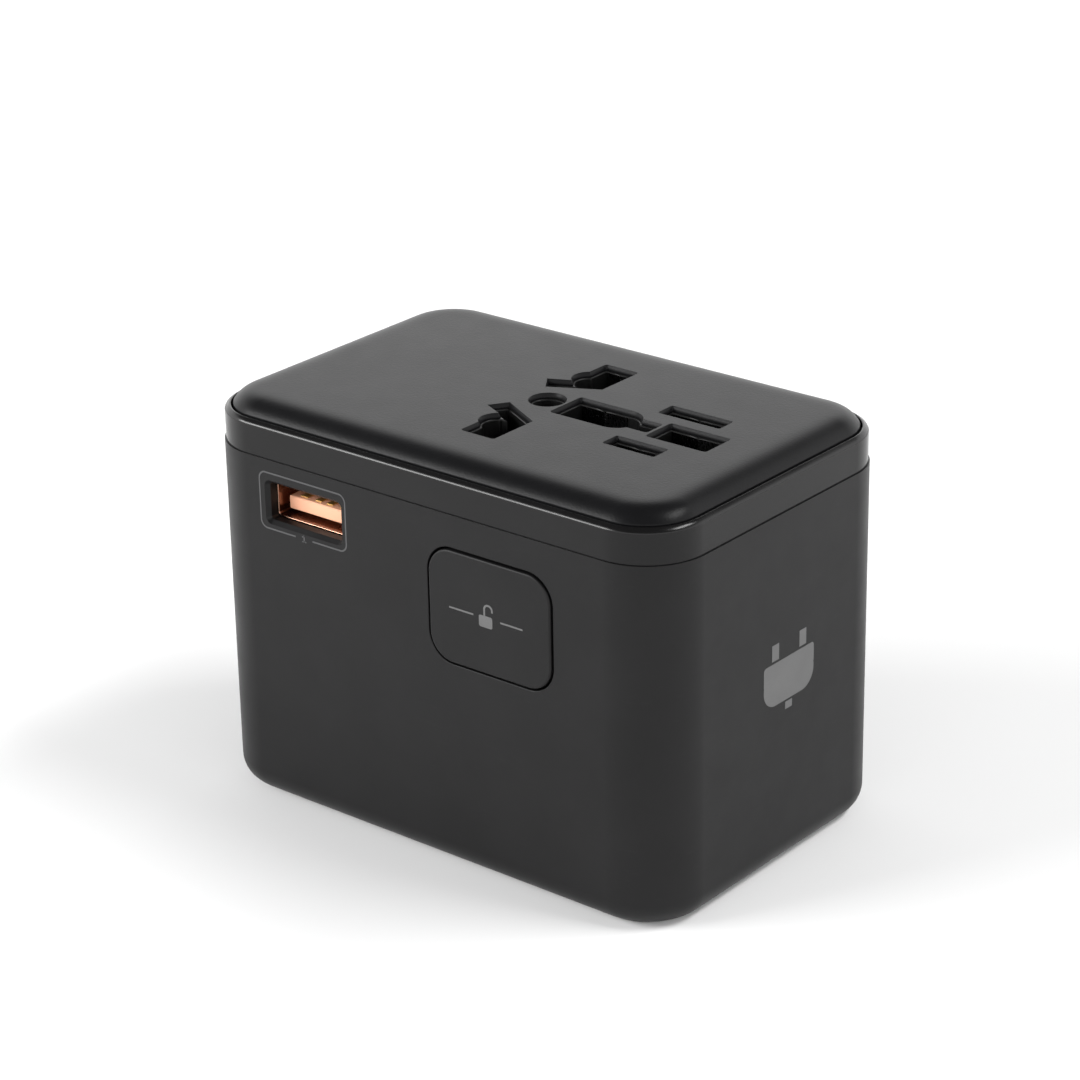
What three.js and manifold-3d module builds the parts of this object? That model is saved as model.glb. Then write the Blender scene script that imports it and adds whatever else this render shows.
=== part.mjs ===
// Universal travel adapter, in millimetres, +Z up.
// The origin is the centre of the flat base. X runs along the length, Y through the depth:
// -Y is the front with the unlock button, +Y the back with the slider knobs, and the
// universal socket faces up. The plug pins are drawn retracted and slide out through the base.

import * as THREE from 'three';
import { LoftGeometry } from 'three/addons/geometries/LoftGeometry.js';
import { mergeVertices } from 'three/addons/utils/BufferGeometryUtils.js';
import Module from 'manifold-3d';

const wasm = await Module();
wasm.setup();

// ---------------------------------------------------------------- driving dimensions

const GAP = 0.3; // clearance between neighbouring pieces
const THROUGH = 1; // how far a cutting solid runs past the face it opens

// Housing
const LENGTH = 77.2;
const DEPTH = 50.8;
const HEIGHT = 57.0;
const CORNER_R = 8.9;
const BASE_FILLET = 3.75;
const WALL = 2.2;
const FLOOR = 2.0;
const PARTING_Z = 50.3; // top edge of the housing
const PLATE_INSET = 4.4; // housing edge to the base opening
const BOSS = { x: 30.0, y: 16.8, r: 2.6, top: 14, rib: 1.2 };

// Bezel band and crowned socket panel, as distances in from the housing's faces
const PARTING_GROOVE = 0.15;
const BAND = { inset: 0.2, edgeZ: 54.7, lipZ: 55.3, lipInset: 0.75, mouthInset: 1.05 };
const LEDGE = { inset: 3.4, z: 53.0, skirtZ: 47.5 };
const PANEL = { inset: 1.35, edgeZ: 55.2, topInset: 8.0, hollowInset: 4.0, thickness: 1.0 };

// Universal socket: places and sizes of the openings, seen from above
const MAINS_SLOT = { x0: -1.1, x1: 4.2, y0: 7.25, y1: 15.0 };
const ROUND_PIN = { x: 0.35, y: 9.6, r: 2.4 };
const SLANT_ARM = [[4.2, 7.25], [-2.4, 3.8], [-4.0, 6.1], [-0.1, 7.9], [4.2, 9.0]];
const SMALL_EARTH = { x: 0.9, r: 2.45 };
const LARGE_EARTH = { x0: 3.95, x1: 12.5, halfWidth: 3.2, tailX: 18.4, tailHalfWidth: 1.65 };
const RECT_EARTH = { x0: 19.1, x1: 28.4, halfWidth: 2.65 };
const BLADE_SLOT = { y: 6.35, halfWidth: 1.45 };
const LONG_BLADE = { x0: 15.4, x1: 25.0 }; // the wider, neutral slot
const SHORT_BLADE = { x0: 16.2, x1: 24.2 };

// Socket core under the panel
const CORE = { x0: -8, x1: 31, halfY: 18.5 };
const GUIDE = { z0: 52.6, z1: 55.7 };
const SHUTTER = { x0: -6.5, landX: -2.6, x1: 4.7, halfY: 15.4, notchHalfY: 3.0, z0: 50.9, z1: 52.3 };
const SHUTTER_STOP = { x: -22.0, halfWidth: 2.0, thickness: 1.0 };
const CARRIER = { z0: 37.5, z1: 50.6 };
const STRIP = { z0: 36.2, z1: 37.0, tineZ: 47.0, sheet: 0.6 };
const CONTACT_BASE = { x0: -12, z0: 34.0, z1: 35.9 };
const CORE_SCREW = { x: [-6, 29], y: [16.6, -16.6] };

// Plug sliders. Each carriage comes down to LOW_Z, where its pins stand out at full length.
const LOW_Z = 2.4;
const TIP_RECESS = 0.8; // pin tips above the base when retracted
const CARRIAGE_H = 6;
const SLIDER_BACK_Y = 21.0;
const SLIDER_ARM = 2.4;
const EU = { x: -5.4, y: 9.5, pinR: 2.0, pinLength: 19.0, knobX: -14 };
const UK = { x: 1.55, y: 11.1, earthX: 23.75, pinLength: 22.7, mainsLength: 17.7, knobX: 1.55 };
const US = { x: 9.8, y: 6.6, pinLength: 16.8, width: 6.35, thickness: 1.5, discR: 3.6, knobX: 17 };
const UK_PIN = { across: 6.35, thick: 4.0, earthAcross: 8.0 };

// Knobs on the back and the slots that they run in
const KNOB = { stem: 3.0, width: 6.4, height: 4.6, proud: 1.4, r: 1.0 };
const KNOB_SLOT_CLEARANCE = 0.4;

// Unlock button on the front
const BUTTON = { x: 11.7, z: 37.75, width: 20.4, height: 16.2, r: 4.0, proud: 0.2, rim: 1.5 };
const LOCK_PLATE = { x0: -8.2, x1: 14.4, y1: 14.0, z0: 32.4, z1: 33.4 };

// Charger
const PORT_Z = 44.35;
const BOARD = 1.6;
const CHARGER_BOARD = { x0: -35.5, x1: -12.9, halfY: 19.0, topZ: 41.2 };
const MAINS_BOARD = { x0: -35.0, x1: -17.5, halfY: 13.6, z0: 5.0 };
const USB_A = { width: 13.1, height: 5.7, sheet: 0.3, depth: 13.0, r: 0.6, steps: 3 };
const USB_C = { width: 8.94, height: 3.2, sheet: 0.3, depth: 7.4, r: 1.3, steps: 5 };
const FRONT_PORT_X = -19.75;
const END_PORT_Y = -3.0;
const END_USB_C_Y = 10.5;
const SHELL_RECESS = 2.1; // housing face to the metal mouth of a port
const FUSE = { x: -24, z: 34.0, length: 20 };

// Mesh fineness
const CORNER_STEPS = 6;
const SMALL_CORNER_STEPS = 2;
const ROUND_STEPS = 20;
const SMALL_STEPS = 12;

const HALF_LENGTH = LENGTH / 2;
const HALF_DEPTH = DEPTH / 2;

// ---------------------------------------------------------------- shapes and solids

function box(x0, x1, y0, y1, z0, z1) {
  const geometry = new THREE.BoxGeometry(x1 - x0, y1 - y0, z1 - z0);
  return geometry.translate((x0 + x1) / 2, (y0 + y1) / 2, (z0 + z1) / 2);
}

// A ring of points around a rounded rectangle centred on the Z axis
function ring(width, depth, radius, z, steps = CORNER_STEPS) {
  const largest = Math.min(width, depth) / 2 - 0.05;
  const r = Math.min(Math.max(radius, 0.3), largest);
  const points = [];
  for (let corner = 0; corner < 4; corner += 1) {
    const middle = (corner + 0.5) * Math.PI / 2;
    const cx = Math.sign(Math.cos(middle)) * (width / 2 - r);
    const cy = Math.sign(Math.sin(middle)) * (depth / 2 - r);
    for (let step = 0; step <= steps; step += 1) {
      const angle = (corner + step / steps) * Math.PI / 2;
      points.push(new THREE.Vector3(cx + r * Math.cos(angle), cy + r * Math.sin(angle), z));
    }
  }
  return points;
}

function stack(rings) {
  return new LoftGeometry(rings, { capStart: true, capEnd: true });
}

// The housing's own outline moved in by an inset, stacked through [inset, z] levels
function plan(levels) {
  return stack(levels.map(([inset, z]) => (
    ring(LENGTH - 2 * inset, DEPTH - 2 * inset, CORNER_R - inset, z)
  )));
}

function slab(width, depth, radius, z0, z1, steps = CORNER_STEPS) {
  return stack([ring(width, depth, radius, z0, steps), ring(width, depth, radius, z1, steps)]);
}

function polygon(points) {
  return new THREE.Shape(points.map(([x, y]) => new THREE.Vector2(x, y)));
}

function extrude(shape, z0, z1) {
  const options = { depth: z1 - z0, bevelEnabled: false, curveSegments: SMALL_STEPS };
  return new THREE.ExtrudeGeometry(shape, options).translate(0, 0, z0);
}

function rod(x, y, radius, z0, z1, steps = ROUND_STEPS) {
  const geometry = new THREE.CylinderGeometry(radius, radius, z1 - z0, steps);
  return geometry.rotateX(Math.PI / 2).translate(x, y, (z0 + z1) / 2);
}

// A turned piece: profile points are [radius, z], from the axis back to the axis
function turned(profile, steps = ROUND_STEPS) {
  const points = profile.map(([r, z]) => new THREE.Vector2(r, z));
  return new THREE.LatheGeometry(points, steps).rotateX(Math.PI / 2);
}

function toManifold(geometry) {
  const bare = new THREE.BufferGeometry();
  bare.setAttribute('position', geometry.attributes.position);
  bare.setIndex(geometry.index);
  const merged = mergeVertices(bare);
  return new wasm.Manifold(new wasm.Mesh({
    numProp: 3,
    vertProperties: merged.attributes.position.array,
    triVerts: new Uint32Array(merged.index.array),
  }));
}

function toGeometry(manifold) {
  const mesh = manifold.getMesh();
  const geometry = new THREE.BufferGeometry();
  geometry.setAttribute('position', new THREE.BufferAttribute(mesh.vertProperties, 3));
  geometry.setIndex(new THREE.BufferAttribute(mesh.triVerts, 1));
  return geometry;
}

function join(...geometries) {
  return toGeometry(geometries.map(toManifold).reduce((sum, next) => sum.add(next)));
}

function cut(base, ...tools) {
  return toGeometry(tools.map(toManifold).reduce((rest, tool) => rest.subtract(tool), toManifold(base)));
}

// Frames of the housing's faces: local x to the right, y up, z out of the face
const FACES = {
  front: { right: [1, 0, 0], out: [0, -1, 0], at: (u, v) => [u, -HALF_DEPTH, v] },
  back: { right: [-1, 0, 0], out: [0, 1, 0], at: (u, v) => [u, HALF_DEPTH, v] },
  end: { right: [0, -1, 0], out: [-1, 0, 0], at: (u, v) => [-HALF_LENGTH, u, v] },
};

function faceMatrix(face, u, v) {
  const { right, out, at } = FACES[face];
  const up = new THREE.Vector3(0, 0, 1);
  const matrix = new THREE.Matrix4();
  matrix.makeBasis(new THREE.Vector3(...right), up, new THREE.Vector3(...out));
  return matrix.setPosition(...at(u, v));
}

function onFace(geometry, face, u, v) {
  return geometry.applyMatrix4(faceMatrix(face, u, v));
}

function faceGroup(face, u, v) {
  const group = new THREE.Group();
  group.applyMatrix4(faceMatrix(face, u, v));
  return group;
}

// ---------------------------------------------------------------- finishes and pieces

const FINISHES = {
  satinBlack: { color: 0x1a1a1b, roughness: 0.42, metalness: 0 },
  glossBlack: { color: 0x161617, roughness: 0.25, metalness: 0 },
  matteBlack: { color: 0x222224, roughness: 0.62, metalness: 0 },
  innerBlack: { color: 0x0c0c0d, roughness: 0.6, metalness: 0 },
  nylon: { color: 0x3a3b3d, roughness: 0.55, metalness: 0 },
  shutterGrey: { color: 0x141415, roughness: 0.5, metalness: 0 },
  nickel: { color: 0xc8c6c0, roughness: 0.25, metalness: 1 },
  brass: { color: 0xb08d4a, roughness: 0.35, metalness: 1 },
  steel: { color: 0x9a9b9d, roughness: 0.35, metalness: 1 },
  board: { color: 0x1d5a35, roughness: 0.5, metalness: 0 },
  ferrite: { color: 0x2d2d30, roughness: 0.7, metalness: 0 },
  tape: { color: 0xc9a227, roughness: 0.5, metalness: 0 },
  sleeve: { color: 0x20242c, roughness: 0.4, metalness: 0 },
  aluminium: { color: 0xb8babd, roughness: 0.4, metalness: 1 },
  glass: { color: 0xdfe8e8, roughness: 0.1, metalness: 0 },
  orange: { color: 0xe8792f, roughness: 0.45, metalness: 0 },
};

const adapter = new THREE.Group();

function addPiece(parent, name, geometry, finish, x = 0, y = 0, z = 0) {
  const mesh = new THREE.Mesh(geometry, new THREE.MeshStandardMaterial(FINISHES[finish]));
  mesh.name = name;
  mesh.position.set(x, y, z);
  parent.add(mesh);
}

// Signed copies: the neutral side is +Y, the live side -Y
const SIDES = [['neutral', 1], ['live', -1]];

// ---------------------------------------------------------------- universal socket openings

function sideBox(side, x0, x1, y0, y1, z0, z1) {
  return box(x0, x1, Math.min(side * y0, side * y1), Math.max(side * y0, side * y1), z0, z1);
}

function slantArm(side, z0, z1) {
  const points = SLANT_ARM.map(([x, y]) => [x, side * y]);
  return extrude(polygon(points), z0, z1);
}

function socketOpenings(z0, z1) {
  const slot = BLADE_SLOT;
  const tools = [
    rod(SMALL_EARTH.x, 0, SMALL_EARTH.r, z0, z1),
    box(LARGE_EARTH.x0, LARGE_EARTH.x1, -LARGE_EARTH.halfWidth, LARGE_EARTH.halfWidth, z0, z1),
    rod(LARGE_EARTH.x1, 0, LARGE_EARTH.halfWidth, z0, z1),
    box(LARGE_EARTH.x1, LARGE_EARTH.tailX, -LARGE_EARTH.tailHalfWidth, LARGE_EARTH.tailHalfWidth, z0, z1),
    box(RECT_EARTH.x0, RECT_EARTH.x1, -RECT_EARTH.halfWidth, RECT_EARTH.halfWidth, z0, z1),
  ];
  for (const [, side] of SIDES) {
    const blade = side > 0 ? LONG_BLADE : SHORT_BLADE;
    tools.push(
      sideBox(side, MAINS_SLOT.x0, MAINS_SLOT.x1, MAINS_SLOT.y0, MAINS_SLOT.y1, z0, z1),
      rod(ROUND_PIN.x, side * ROUND_PIN.y, ROUND_PIN.r, z0, z1),
      slantArm(side, z0, z1),
      sideBox(side, blade.x0, blade.x1, slot.y - slot.halfWidth, slot.y + slot.halfWidth, z0, z1),
    );
  }
  return tools;
}

// ---------------------------------------------------------------- housing

// The hollow of a port mouth: a shallow funnel, a throat and a pocket for the metal shell
function portMouth(port) {
  const { width, height, r, steps } = port;
  const throatW = width - 0.5;
  const throatH = height - 0.8;
  const flare = 0.6;
  const pocket = SHELL_RECESS - GAP;
  return join(
    stack([
      ring(throatW, throatH, r, -0.7, steps),
      ring(throatW + 2 * flare, throatH + 2 * flare, r + flare, 0, steps),
      ring(throatW + 2 * flare, throatH + 2 * flare, r + flare, THROUGH, steps),
    ]),
    slab(throatW, throatH, r, -WALL - THROUGH, -0.5, steps),
    slab(width + 2 * GAP, height + 2 * GAP, r, -WALL - THROUGH, -pocket, steps),
  );
}

function bossWithRibs(signX, signY) {
  const x = signX * BOSS.x;
  const y = signY * BOSS.y;
  const z0 = FLOOR + GAP;
  const half = BOSS.rib / 2;
  const wallX = signX * (HALF_LENGTH - WALL / 2);
  const wallY = signY * (HALF_DEPTH - WALL / 2);
  return [
    rod(x, y, BOSS.r, z0, BOSS.top),
    box(Math.min(x, wallX), Math.max(x, wallX), y - half, y + half, z0, BOSS.top),
    box(x - half, x + half, Math.min(y, wallY), Math.max(y, wallY), z0, BOSS.top),
  ];
}

const CORNERS = [[1, 1], [-1, 1], [-1, -1], [1, -1]];

const SLIDERS = { eu: EU, uk: UK, us: US };

function strokeOf(slider) {
  return slider.pinLength + TIP_RECESS;
}

function knobSlot(slider) {
  const half = KNOB.stem / 2 + KNOB_SLOT_CLEARANCE;
  const low = LOW_Z + CARRIAGE_H / 2;
  const high = low + strokeOf(slider);
  return box(slider.knobX - half, slider.knobX + half, HALF_DEPTH - WALL - THROUGH,
    HALF_DEPTH + THROUGH, low - half, high + half);
}

// Shelves inside the walls that carry the contact base and the charger board
function shelves() {
  const { x0, z0 } = CONTACT_BASE;
  const baseTop = z0 - GAP;
  const boardTop = CHARGER_BOARD.topZ - BOARD - GAP;
  const wallY = HALF_DEPTH - WALL / 2;
  const wallX = HALF_LENGTH - WALL / 2;
  const tongue = 1.6;
  const list = [
    box(x0, x0 + 3, -wallY, -CORE.halfY + 1, baseTop - tongue, baseTop),
    box(x0, x0 + 3, CORE.halfY - 1, wallY, baseTop - tongue, baseTop),
    box(25, 28, -wallY, -CORE.halfY + 1, baseTop - tongue, baseTop),
    box(22, 25, CORE.halfY - 1, wallY, baseTop - tongue, baseTop),
    box(-wallX, -34, -15, 15, boardTop - tongue, boardTop),
    box(-32, -16, CHARGER_BOARD.halfY - 1.5, wallY, boardTop - tongue, boardTop),
  ];
  return list;
}

function housingShell() {
  const filletSteps = 4;
  const levels = [];
  for (let step = 0; step <= filletSteps; step += 1) {
    const angle = step / filletSteps * Math.PI / 2;
    levels.push([BASE_FILLET * (1 - Math.sin(angle)), BASE_FILLET * (1 - Math.cos(angle))]);
  }
  levels.push([0, PARTING_Z]);
  const shell = cut(
    plan(levels),
    plan([[WALL, FLOOR], [WALL, PARTING_Z + THROUGH]]),
    plan([[PLATE_INSET, -THROUGH], [PLATE_INSET, FLOOR + THROUGH]]),
  );
  const bosses = CORNERS.flatMap(([sx, sy]) => bossWithRibs(sx, sy));
  return join(shell, ...bosses, ...shelves());
}

const SCREW_HOLE_R = 1.3;

function bossHole([sx, sy]) {
  return rod(sx * BOSS.x, sy * BOSS.y, SCREW_HOLE_R, 0, BOSS.top - 2, SMALL_STEPS);
}

const housing = cut(
  housingShell(),
  ...CORNERS.map(bossHole),
  onFace(slab(BUTTON.width, BUTTON.height, BUTTON.r, -WALL - THROUGH, THROUGH), 'front', BUTTON.x, BUTTON.z),
  onFace(portMouth(USB_A), 'front', FRONT_PORT_X, PORT_Z),
  onFace(portMouth(USB_A), 'end', END_PORT_Y, PORT_Z),
  onFace(portMouth(USB_C), 'end', END_USB_C_Y, CHARGER_BOARD.topZ + GAP + USB_C.height / 2),
  ...Object.values(SLIDERS).map(knobSlot),
);
addPiece(adapter, 'main_housing', housing, 'satinBlack');

// ---------------------------------------------------------------- base plate and its screws

const PLATE_SCREW = { headR: 1.9, headH: 0.75, shaftR: 1.0, length: 9.5, recess: 0.2 };

function screwGeometry({ headR, headH, shaftR, length }) {
  const drive = headR * 0.6;
  const half = headR * 0.12;
  const depth = headH * 0.6;
  const body = turned([[0, 0], [headR, 0], [headR, headH], [shaftR, headH], [shaftR, length], [0, length]],
    SMALL_STEPS);
  return cut(
    body,
    box(-drive, drive, -half, half, -THROUGH, depth),
    box(-half, half, -drive, drive, -THROUGH, depth),
  );
}

function plugPlate() {
  const half = UK_PIN.thick / 2 + GAP;
  const mains = UK_PIN.across / 2 + GAP;
  const earth = UK_PIN.earthAcross / 2 + GAP;
  const low = -THROUGH;
  const high = FLOOR + THROUGH;
  const tools = [box(UK.earthX - earth, UK.earthX + earth, -half, half, low, high)];
  for (const [, side] of SIDES) {
    tools.push(
      rod(EU.x, side * EU.y, EU.pinR + GAP, low, high),
      sideBox(side, UK.x - half, UK.x + half, UK.y - mains, UK.y + mains, low, high),
      rod(US.x, side * US.y, US.discR + GAP, low, high, ROUND_STEPS + 4),
    );
  }
  for (const [sx, sy] of CORNERS) {
    const counterbore = PLATE_SCREW.recess + PLATE_SCREW.headH + GAP;
    tools.push(
      rod(sx * BOSS.x, sy * BOSS.y, PLATE_SCREW.headR + GAP, low, counterbore, SMALL_STEPS),
      rod(sx * BOSS.x, sy * BOSS.y, SCREW_HOLE_R, low, high, SMALL_STEPS),
    );
  }
  const edge = PLATE_INSET + GAP;
  const standoffs = [-32, -20].flatMap((x) => [-11, 11].map((y) => (
    box(x - 1, x + 1, y - 1, y + 1, FLOOR - 0.5, MAINS_BOARD.z0 - GAP)
  )));
  return cut(join(plan([[edge, 0], [edge, FLOOR]]), ...standoffs), ...tools);
}

addPiece(adapter, 'plug_plate', plugPlate(), 'satinBlack');
CORNERS.forEach(([sx, sy], index) => {
  addPiece(adapter, `plate_screw_${index + 1}`, screwGeometry(PLATE_SCREW), 'steel',
    sx * BOSS.x, sy * BOSS.y, PLATE_SCREW.recess);
});

// ---------------------------------------------------------------- bezel band and socket panel

function bezelBand() {
  const z0 = PARTING_Z + PARTING_GROOVE;
  const skirtInset = WALL + GAP;
  const band = plan([[BAND.inset, z0], [BAND.inset, BAND.edgeZ], [BAND.lipInset, BAND.lipZ]]);
  const skirt = plan([[skirtInset, LEDGE.skirtZ], [skirtInset, z0 + THROUGH]]);
  return cut(
    join(band, skirt),
    plan([[LEDGE.inset, LEDGE.skirtZ - THROUGH], [LEDGE.inset, LEDGE.z + THROUGH]]),
    plan([[BAND.mouthInset, LEDGE.z], [BAND.mouthInset, BAND.lipZ + THROUGH]]),
  );
}

// The crown starts steep at the panel's edge and fades into the flat middle
function socketPanel() {
  const z0 = LEDGE.z + GAP;
  const rise = HEIGHT - PANEL.edgeZ;
  const run = PANEL.topInset - PANEL.inset;
  const levels = [[PANEL.inset, z0]];
  const crownSteps = 7;
  for (let step = 0; step <= crownSteps; step += 1) {
    const t = step / crownSteps;
    levels.push([PANEL.inset + run * t ** 2.2, PANEL.edgeZ + rise * (1 - (1 - t) ** 2)]);
  }
  const hollowTop = HEIGHT - PANEL.thickness;
  return cut(
    plan(levels),
    plan([[PANEL.hollowInset, z0 - THROUGH], [PANEL.hollowInset, hollowTop]]),
    ...socketOpenings(z0, HEIGHT + THROUGH),
  );
}

addPiece(adapter, 'bezel_band', bezelBand(), 'glossBlack');
addPiece(adapter, 'socket_panel', socketPanel(), 'matteBlack');

// ---------------------------------------------------------------- socket core

const CORE_SCREW_SIZE = { headR: 1.3, headH: 0.7, shaftR: 0.7, length: 19.5 };
const SCREW_SINK = 0.1; // screw heads sit this far under the surface

function coreScrewHoles(radius, z0, z1) {
  return CORE_SCREW.x.map((x, index) => rod(x, CORE_SCREW.y[index], radius, z0, z1, SMALL_STEPS));
}

function coreBlock(x0, z0, z1) {
  return box(x0, CORE.x1, -CORE.halfY, CORE.halfY, z0, z1);
}

// The guide also carries the stop that the shutter spring pushes against
function socketGuide() {
  const { x, halfWidth, thickness } = SHUTTER_STOP;
  const armTop = GUIDE.z0 + 1.2;
  return cut(
    join(
      coreBlock(CORE.x0, GUIDE.z0, GUIDE.z1),
      box(x - thickness, CORE.x0 + THROUGH, -halfWidth, halfWidth, GUIDE.z0, armTop),
      box(x - thickness, x, -halfWidth, halfWidth, SHUTTER.z0 - 0.4, armTop),
    ),
    ...socketOpenings(GUIDE.z0 - THROUGH, GUIDE.z1 + THROUGH),
    ...coreScrewHoles(CORE_SCREW_SIZE.shaftR + GAP, GUIDE.z0 - THROUGH, GUIDE.z1 + THROUGH),
    ...coreScrewHoles(CORE_SCREW_SIZE.headR + GAP, GUIDE.z1 - SCREW_SINK - CORE_SCREW_SIZE.headH - GAP,
      GUIDE.z1 + THROUGH),
  );
}

// Two lands close the mains slots; a pin pressing on their slopes drives the shutter to -X
function shutterPlate() {
  const { x0, landX, x1, halfY, notchHalfY, z0, z1 } = SHUTTER;
  const slope = new THREE.ExtrudeGeometry(
    polygon([[landX, z1], [x1 + THROUGH, z1 - 0.8], [x1 + THROUGH, z1 + THROUGH], [landX, z1 + THROUGH]]),
    { depth: 2 * halfY + 2 * THROUGH, bevelEnabled: false },
  );
  slope.rotateX(Math.PI / 2).translate(0, halfY + THROUGH, 0);
  return cut(
    box(x0, x1, -halfY, halfY, z0, z1),
    box(landX, x1 + THROUGH, -notchHalfY, notchHalfY, z0 - THROUGH, z1 + THROUGH),
    slope,
  );
}

function contactCarrier() {
  const z0 = CARRIER.z0 - THROUGH;
  const z1 = CARRIER.z1 + THROUGH;
  const chambers = [
    box(-2.0, 29.0, -2.75, 2.75, z0, z1),
    box(6.2, 16.2, -3.3, 3.3, z0, z1),
  ];
  for (const [, side] of SIDES) {
    chambers.push(
      sideBox(side, -4.6, 5.6, 3.6, 15.4, z0, z1),
      sideBox(side, 14.8, 25.6, 4.6, 8.2, z0, z1),
    );
  }
  return cut(
    coreBlock(CORE.x0, CARRIER.z0, CARRIER.z1),
    ...chambers,
    ...coreScrewHoles(CORE_SCREW_SIZE.shaftR + GAP, z0, z1),
  );
}

// A mains contact: a strip under the carrier with spring tines up both sides of each pin place
function mainsContact(side) {
  const { z0, z1, tineZ, sheet } = STRIP;
  return join(
    sideBox(side, -3.4, 5.1, 7.6, 14.0, z0, z1),
    sideBox(side, 5.0, 25.2, 7.2, 9.6, z0, z1),
    sideBox(side, 15.0, 25.2, 4.9, 7.8, z0, z1),
    sideBox(side, -3.4, -3.4 + sheet, 8.0, 14.0, z0, tineZ),
    sideBox(side, 5.1 - sheet, 5.1, 8.0, 14.0, z0, tineZ),
    sideBox(side, 15.5, 24.7, 4.9, 4.9 + sheet, z0, tineZ),
    sideBox(side, 15.5, 24.7, 7.8 - sheet, 7.8, z0, tineZ),
  );
}

function earthContact() {
  const { z0, z1, tineZ, sheet } = STRIP;
  const half = 2.45;
  const tines = SIDES.flatMap(([, side]) => [[6.6, 15.8], [19.5, 28.0]].map(([x0, x1]) => (
    sideBox(side, x0, x1, half - sheet / 2, half, z0, tineZ)
  )));
  return join(box(-1.0, 28.6, -half, half, z0, z1), ...tines);
}

// Upright bars that the sliding pins rub on; they stand in slots of the contact base
const RAIL = { thickness: 0.8, y0: 4.5, y1: 10.5, z0: 6.0 };
const RAIL_X = { eu: -10.6, us: 15.4 };

function contactBase() {
  const slots = SIDES.flatMap(([, side]) => Object.values(RAIL_X).map((x) => (
    sideBox(side, x - GAP, x + RAIL.thickness + GAP, RAIL.y0 - GAP, RAIL.y1 + GAP,
      CONTACT_BASE.z0 - THROUGH, CONTACT_BASE.z1 + THROUGH)
  )));
  return cut(
    coreBlock(CONTACT_BASE.x0, CONTACT_BASE.z0, CONTACT_BASE.z1),
    ...slots,
    ...coreScrewHoles(CORE_SCREW_SIZE.shaftR + GAP, CONTACT_BASE.z0 - THROUGH, CONTACT_BASE.z1 + THROUGH),
  );
}

addPiece(adapter, 'socket_guide', socketGuide(), 'innerBlack');
addPiece(adapter, 'safety_shutter', shutterPlate(), 'shutterGrey');
addPiece(adapter, 'contact_carrier', contactCarrier(), 'innerBlack');
addPiece(adapter, 'contact_base', contactBase(), 'innerBlack');
addPiece(adapter, 'earth_contact', earthContact(), 'brass');
for (const [pole, side] of SIDES) {
  addPiece(adapter, `${pole}_contact`, mainsContact(side), 'brass');
  for (const [region, x] of Object.entries(RAIL_X)) {
    const rail = sideBox(side, x, x + RAIL.thickness, RAIL.y0, RAIL.y1, RAIL.z0, CONTACT_BASE.z1);
    addPiece(adapter, `${region}_${pole}_rail`, rail, 'brass');
  }
}
CORE_SCREW.x.forEach((x, index) => {
  const screw = screwGeometry(CORE_SCREW_SIZE).rotateX(Math.PI);
  addPiece(adapter, `core_screw_${index + 1}`, screw, 'steel', x, CORE_SCREW.y[index], GUIDE.z1 - SCREW_SINK);
});

// ---------------------------------------------------------------- springs

class Helix extends THREE.Curve {
  constructor(radius, rise, turns) {
    super();
    this.radius = radius;
    this.rise = rise;
    this.turns = turns;
  }

  getPoint(t) {
    const angle = t * this.turns * 2 * Math.PI;
    return new THREE.Vector3(this.radius * Math.cos(angle), this.radius * Math.sin(angle), t * this.rise);
  }
}

// A coil spring whose outer faces lie at z = 0 and z = length
function coilSpring(radius, wireR, length, turns) {
  const section = [];
  const sides = 5;
  for (let side = 0; side < sides; side += 1) {
    const angle = side / sides * 2 * Math.PI;
    section.push([wireR * Math.cos(angle), wireR * Math.sin(angle)]);
  }
  const rise = length - 2.4 * wireR;
  const options = { steps: turns * 8, extrudePath: new Helix(radius, rise, turns) };
  return new THREE.ExtrudeGeometry(polygon(section), options).translate(0, 0, 1.2 * wireR);
}

const SHUTTER_SPRING = { r: 0.8, wireR: 0.16, turns: 6 };
const shutterSpringX = SHUTTER_STOP.x + GAP;
const shutterSpring = coilSpring(SHUTTER_SPRING.r, SHUTTER_SPRING.wireR,
  SHUTTER.x0 - GAP - shutterSpringX, SHUTTER_SPRING.turns).rotateY(Math.PI / 2);
addPiece(adapter, 'shutter_spring', shutterSpring, 'steel', shutterSpringX, 0, (SHUTTER.z0 + SHUTTER.z1) / 2);

// ---------------------------------------------------------------- unlock button and lock plate

const FLANGE = { front: -WALL - GAP, thickness: 1.0 };
const flangeBack = FLANGE.front - FLANGE.thickness;

function unlockButton() {
  const width = BUTTON.width - 2 * GAP;
  const height = BUTTON.height - 2 * GAP;
  const r = BUTTON.r - GAP;
  const rounding = 0.25;
  const cap = stack([
    ring(width, height, r, FLANGE.front - 0.5),
    ring(width, height, r, BUTTON.proud - rounding),
    ring(width - 2 * rounding, height - 2 * rounding, r - rounding, BUTTON.proud),
  ]);
  const flange = slab(BUTTON.width + 2 * BUTTON.rim, BUTTON.height + 2 * BUTTON.rim, BUTTON.r + BUTTON.rim,
    flangeBack, FLANGE.front);
  return join(cap, flange);
}

// A plate over the carriages with two tabs that reach down to them
function lockPlate() {
  const { x0, x1, y1, z0, z1 } = LOCK_PLATE;
  const y0 = -HALF_DEPTH - flangeBack + GAP;
  const euTop = LOW_Z + strokeOf(EU) + CARRIAGE_H + GAP;
  const usTop = LOW_Z + strokeOf(US) + CARRIAGE_H + GAP;
  return join(
    box(x0, x1, y0, y1, z0, z1),
    box(EU.x - 2, EU.x + 2, -11.0, -9.6, euTop, z0 + 0.5),
    box(US.x - 3, US.x + 3, -10.4, -9.0, usTop, z0 + 0.5),
  );
}

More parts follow.
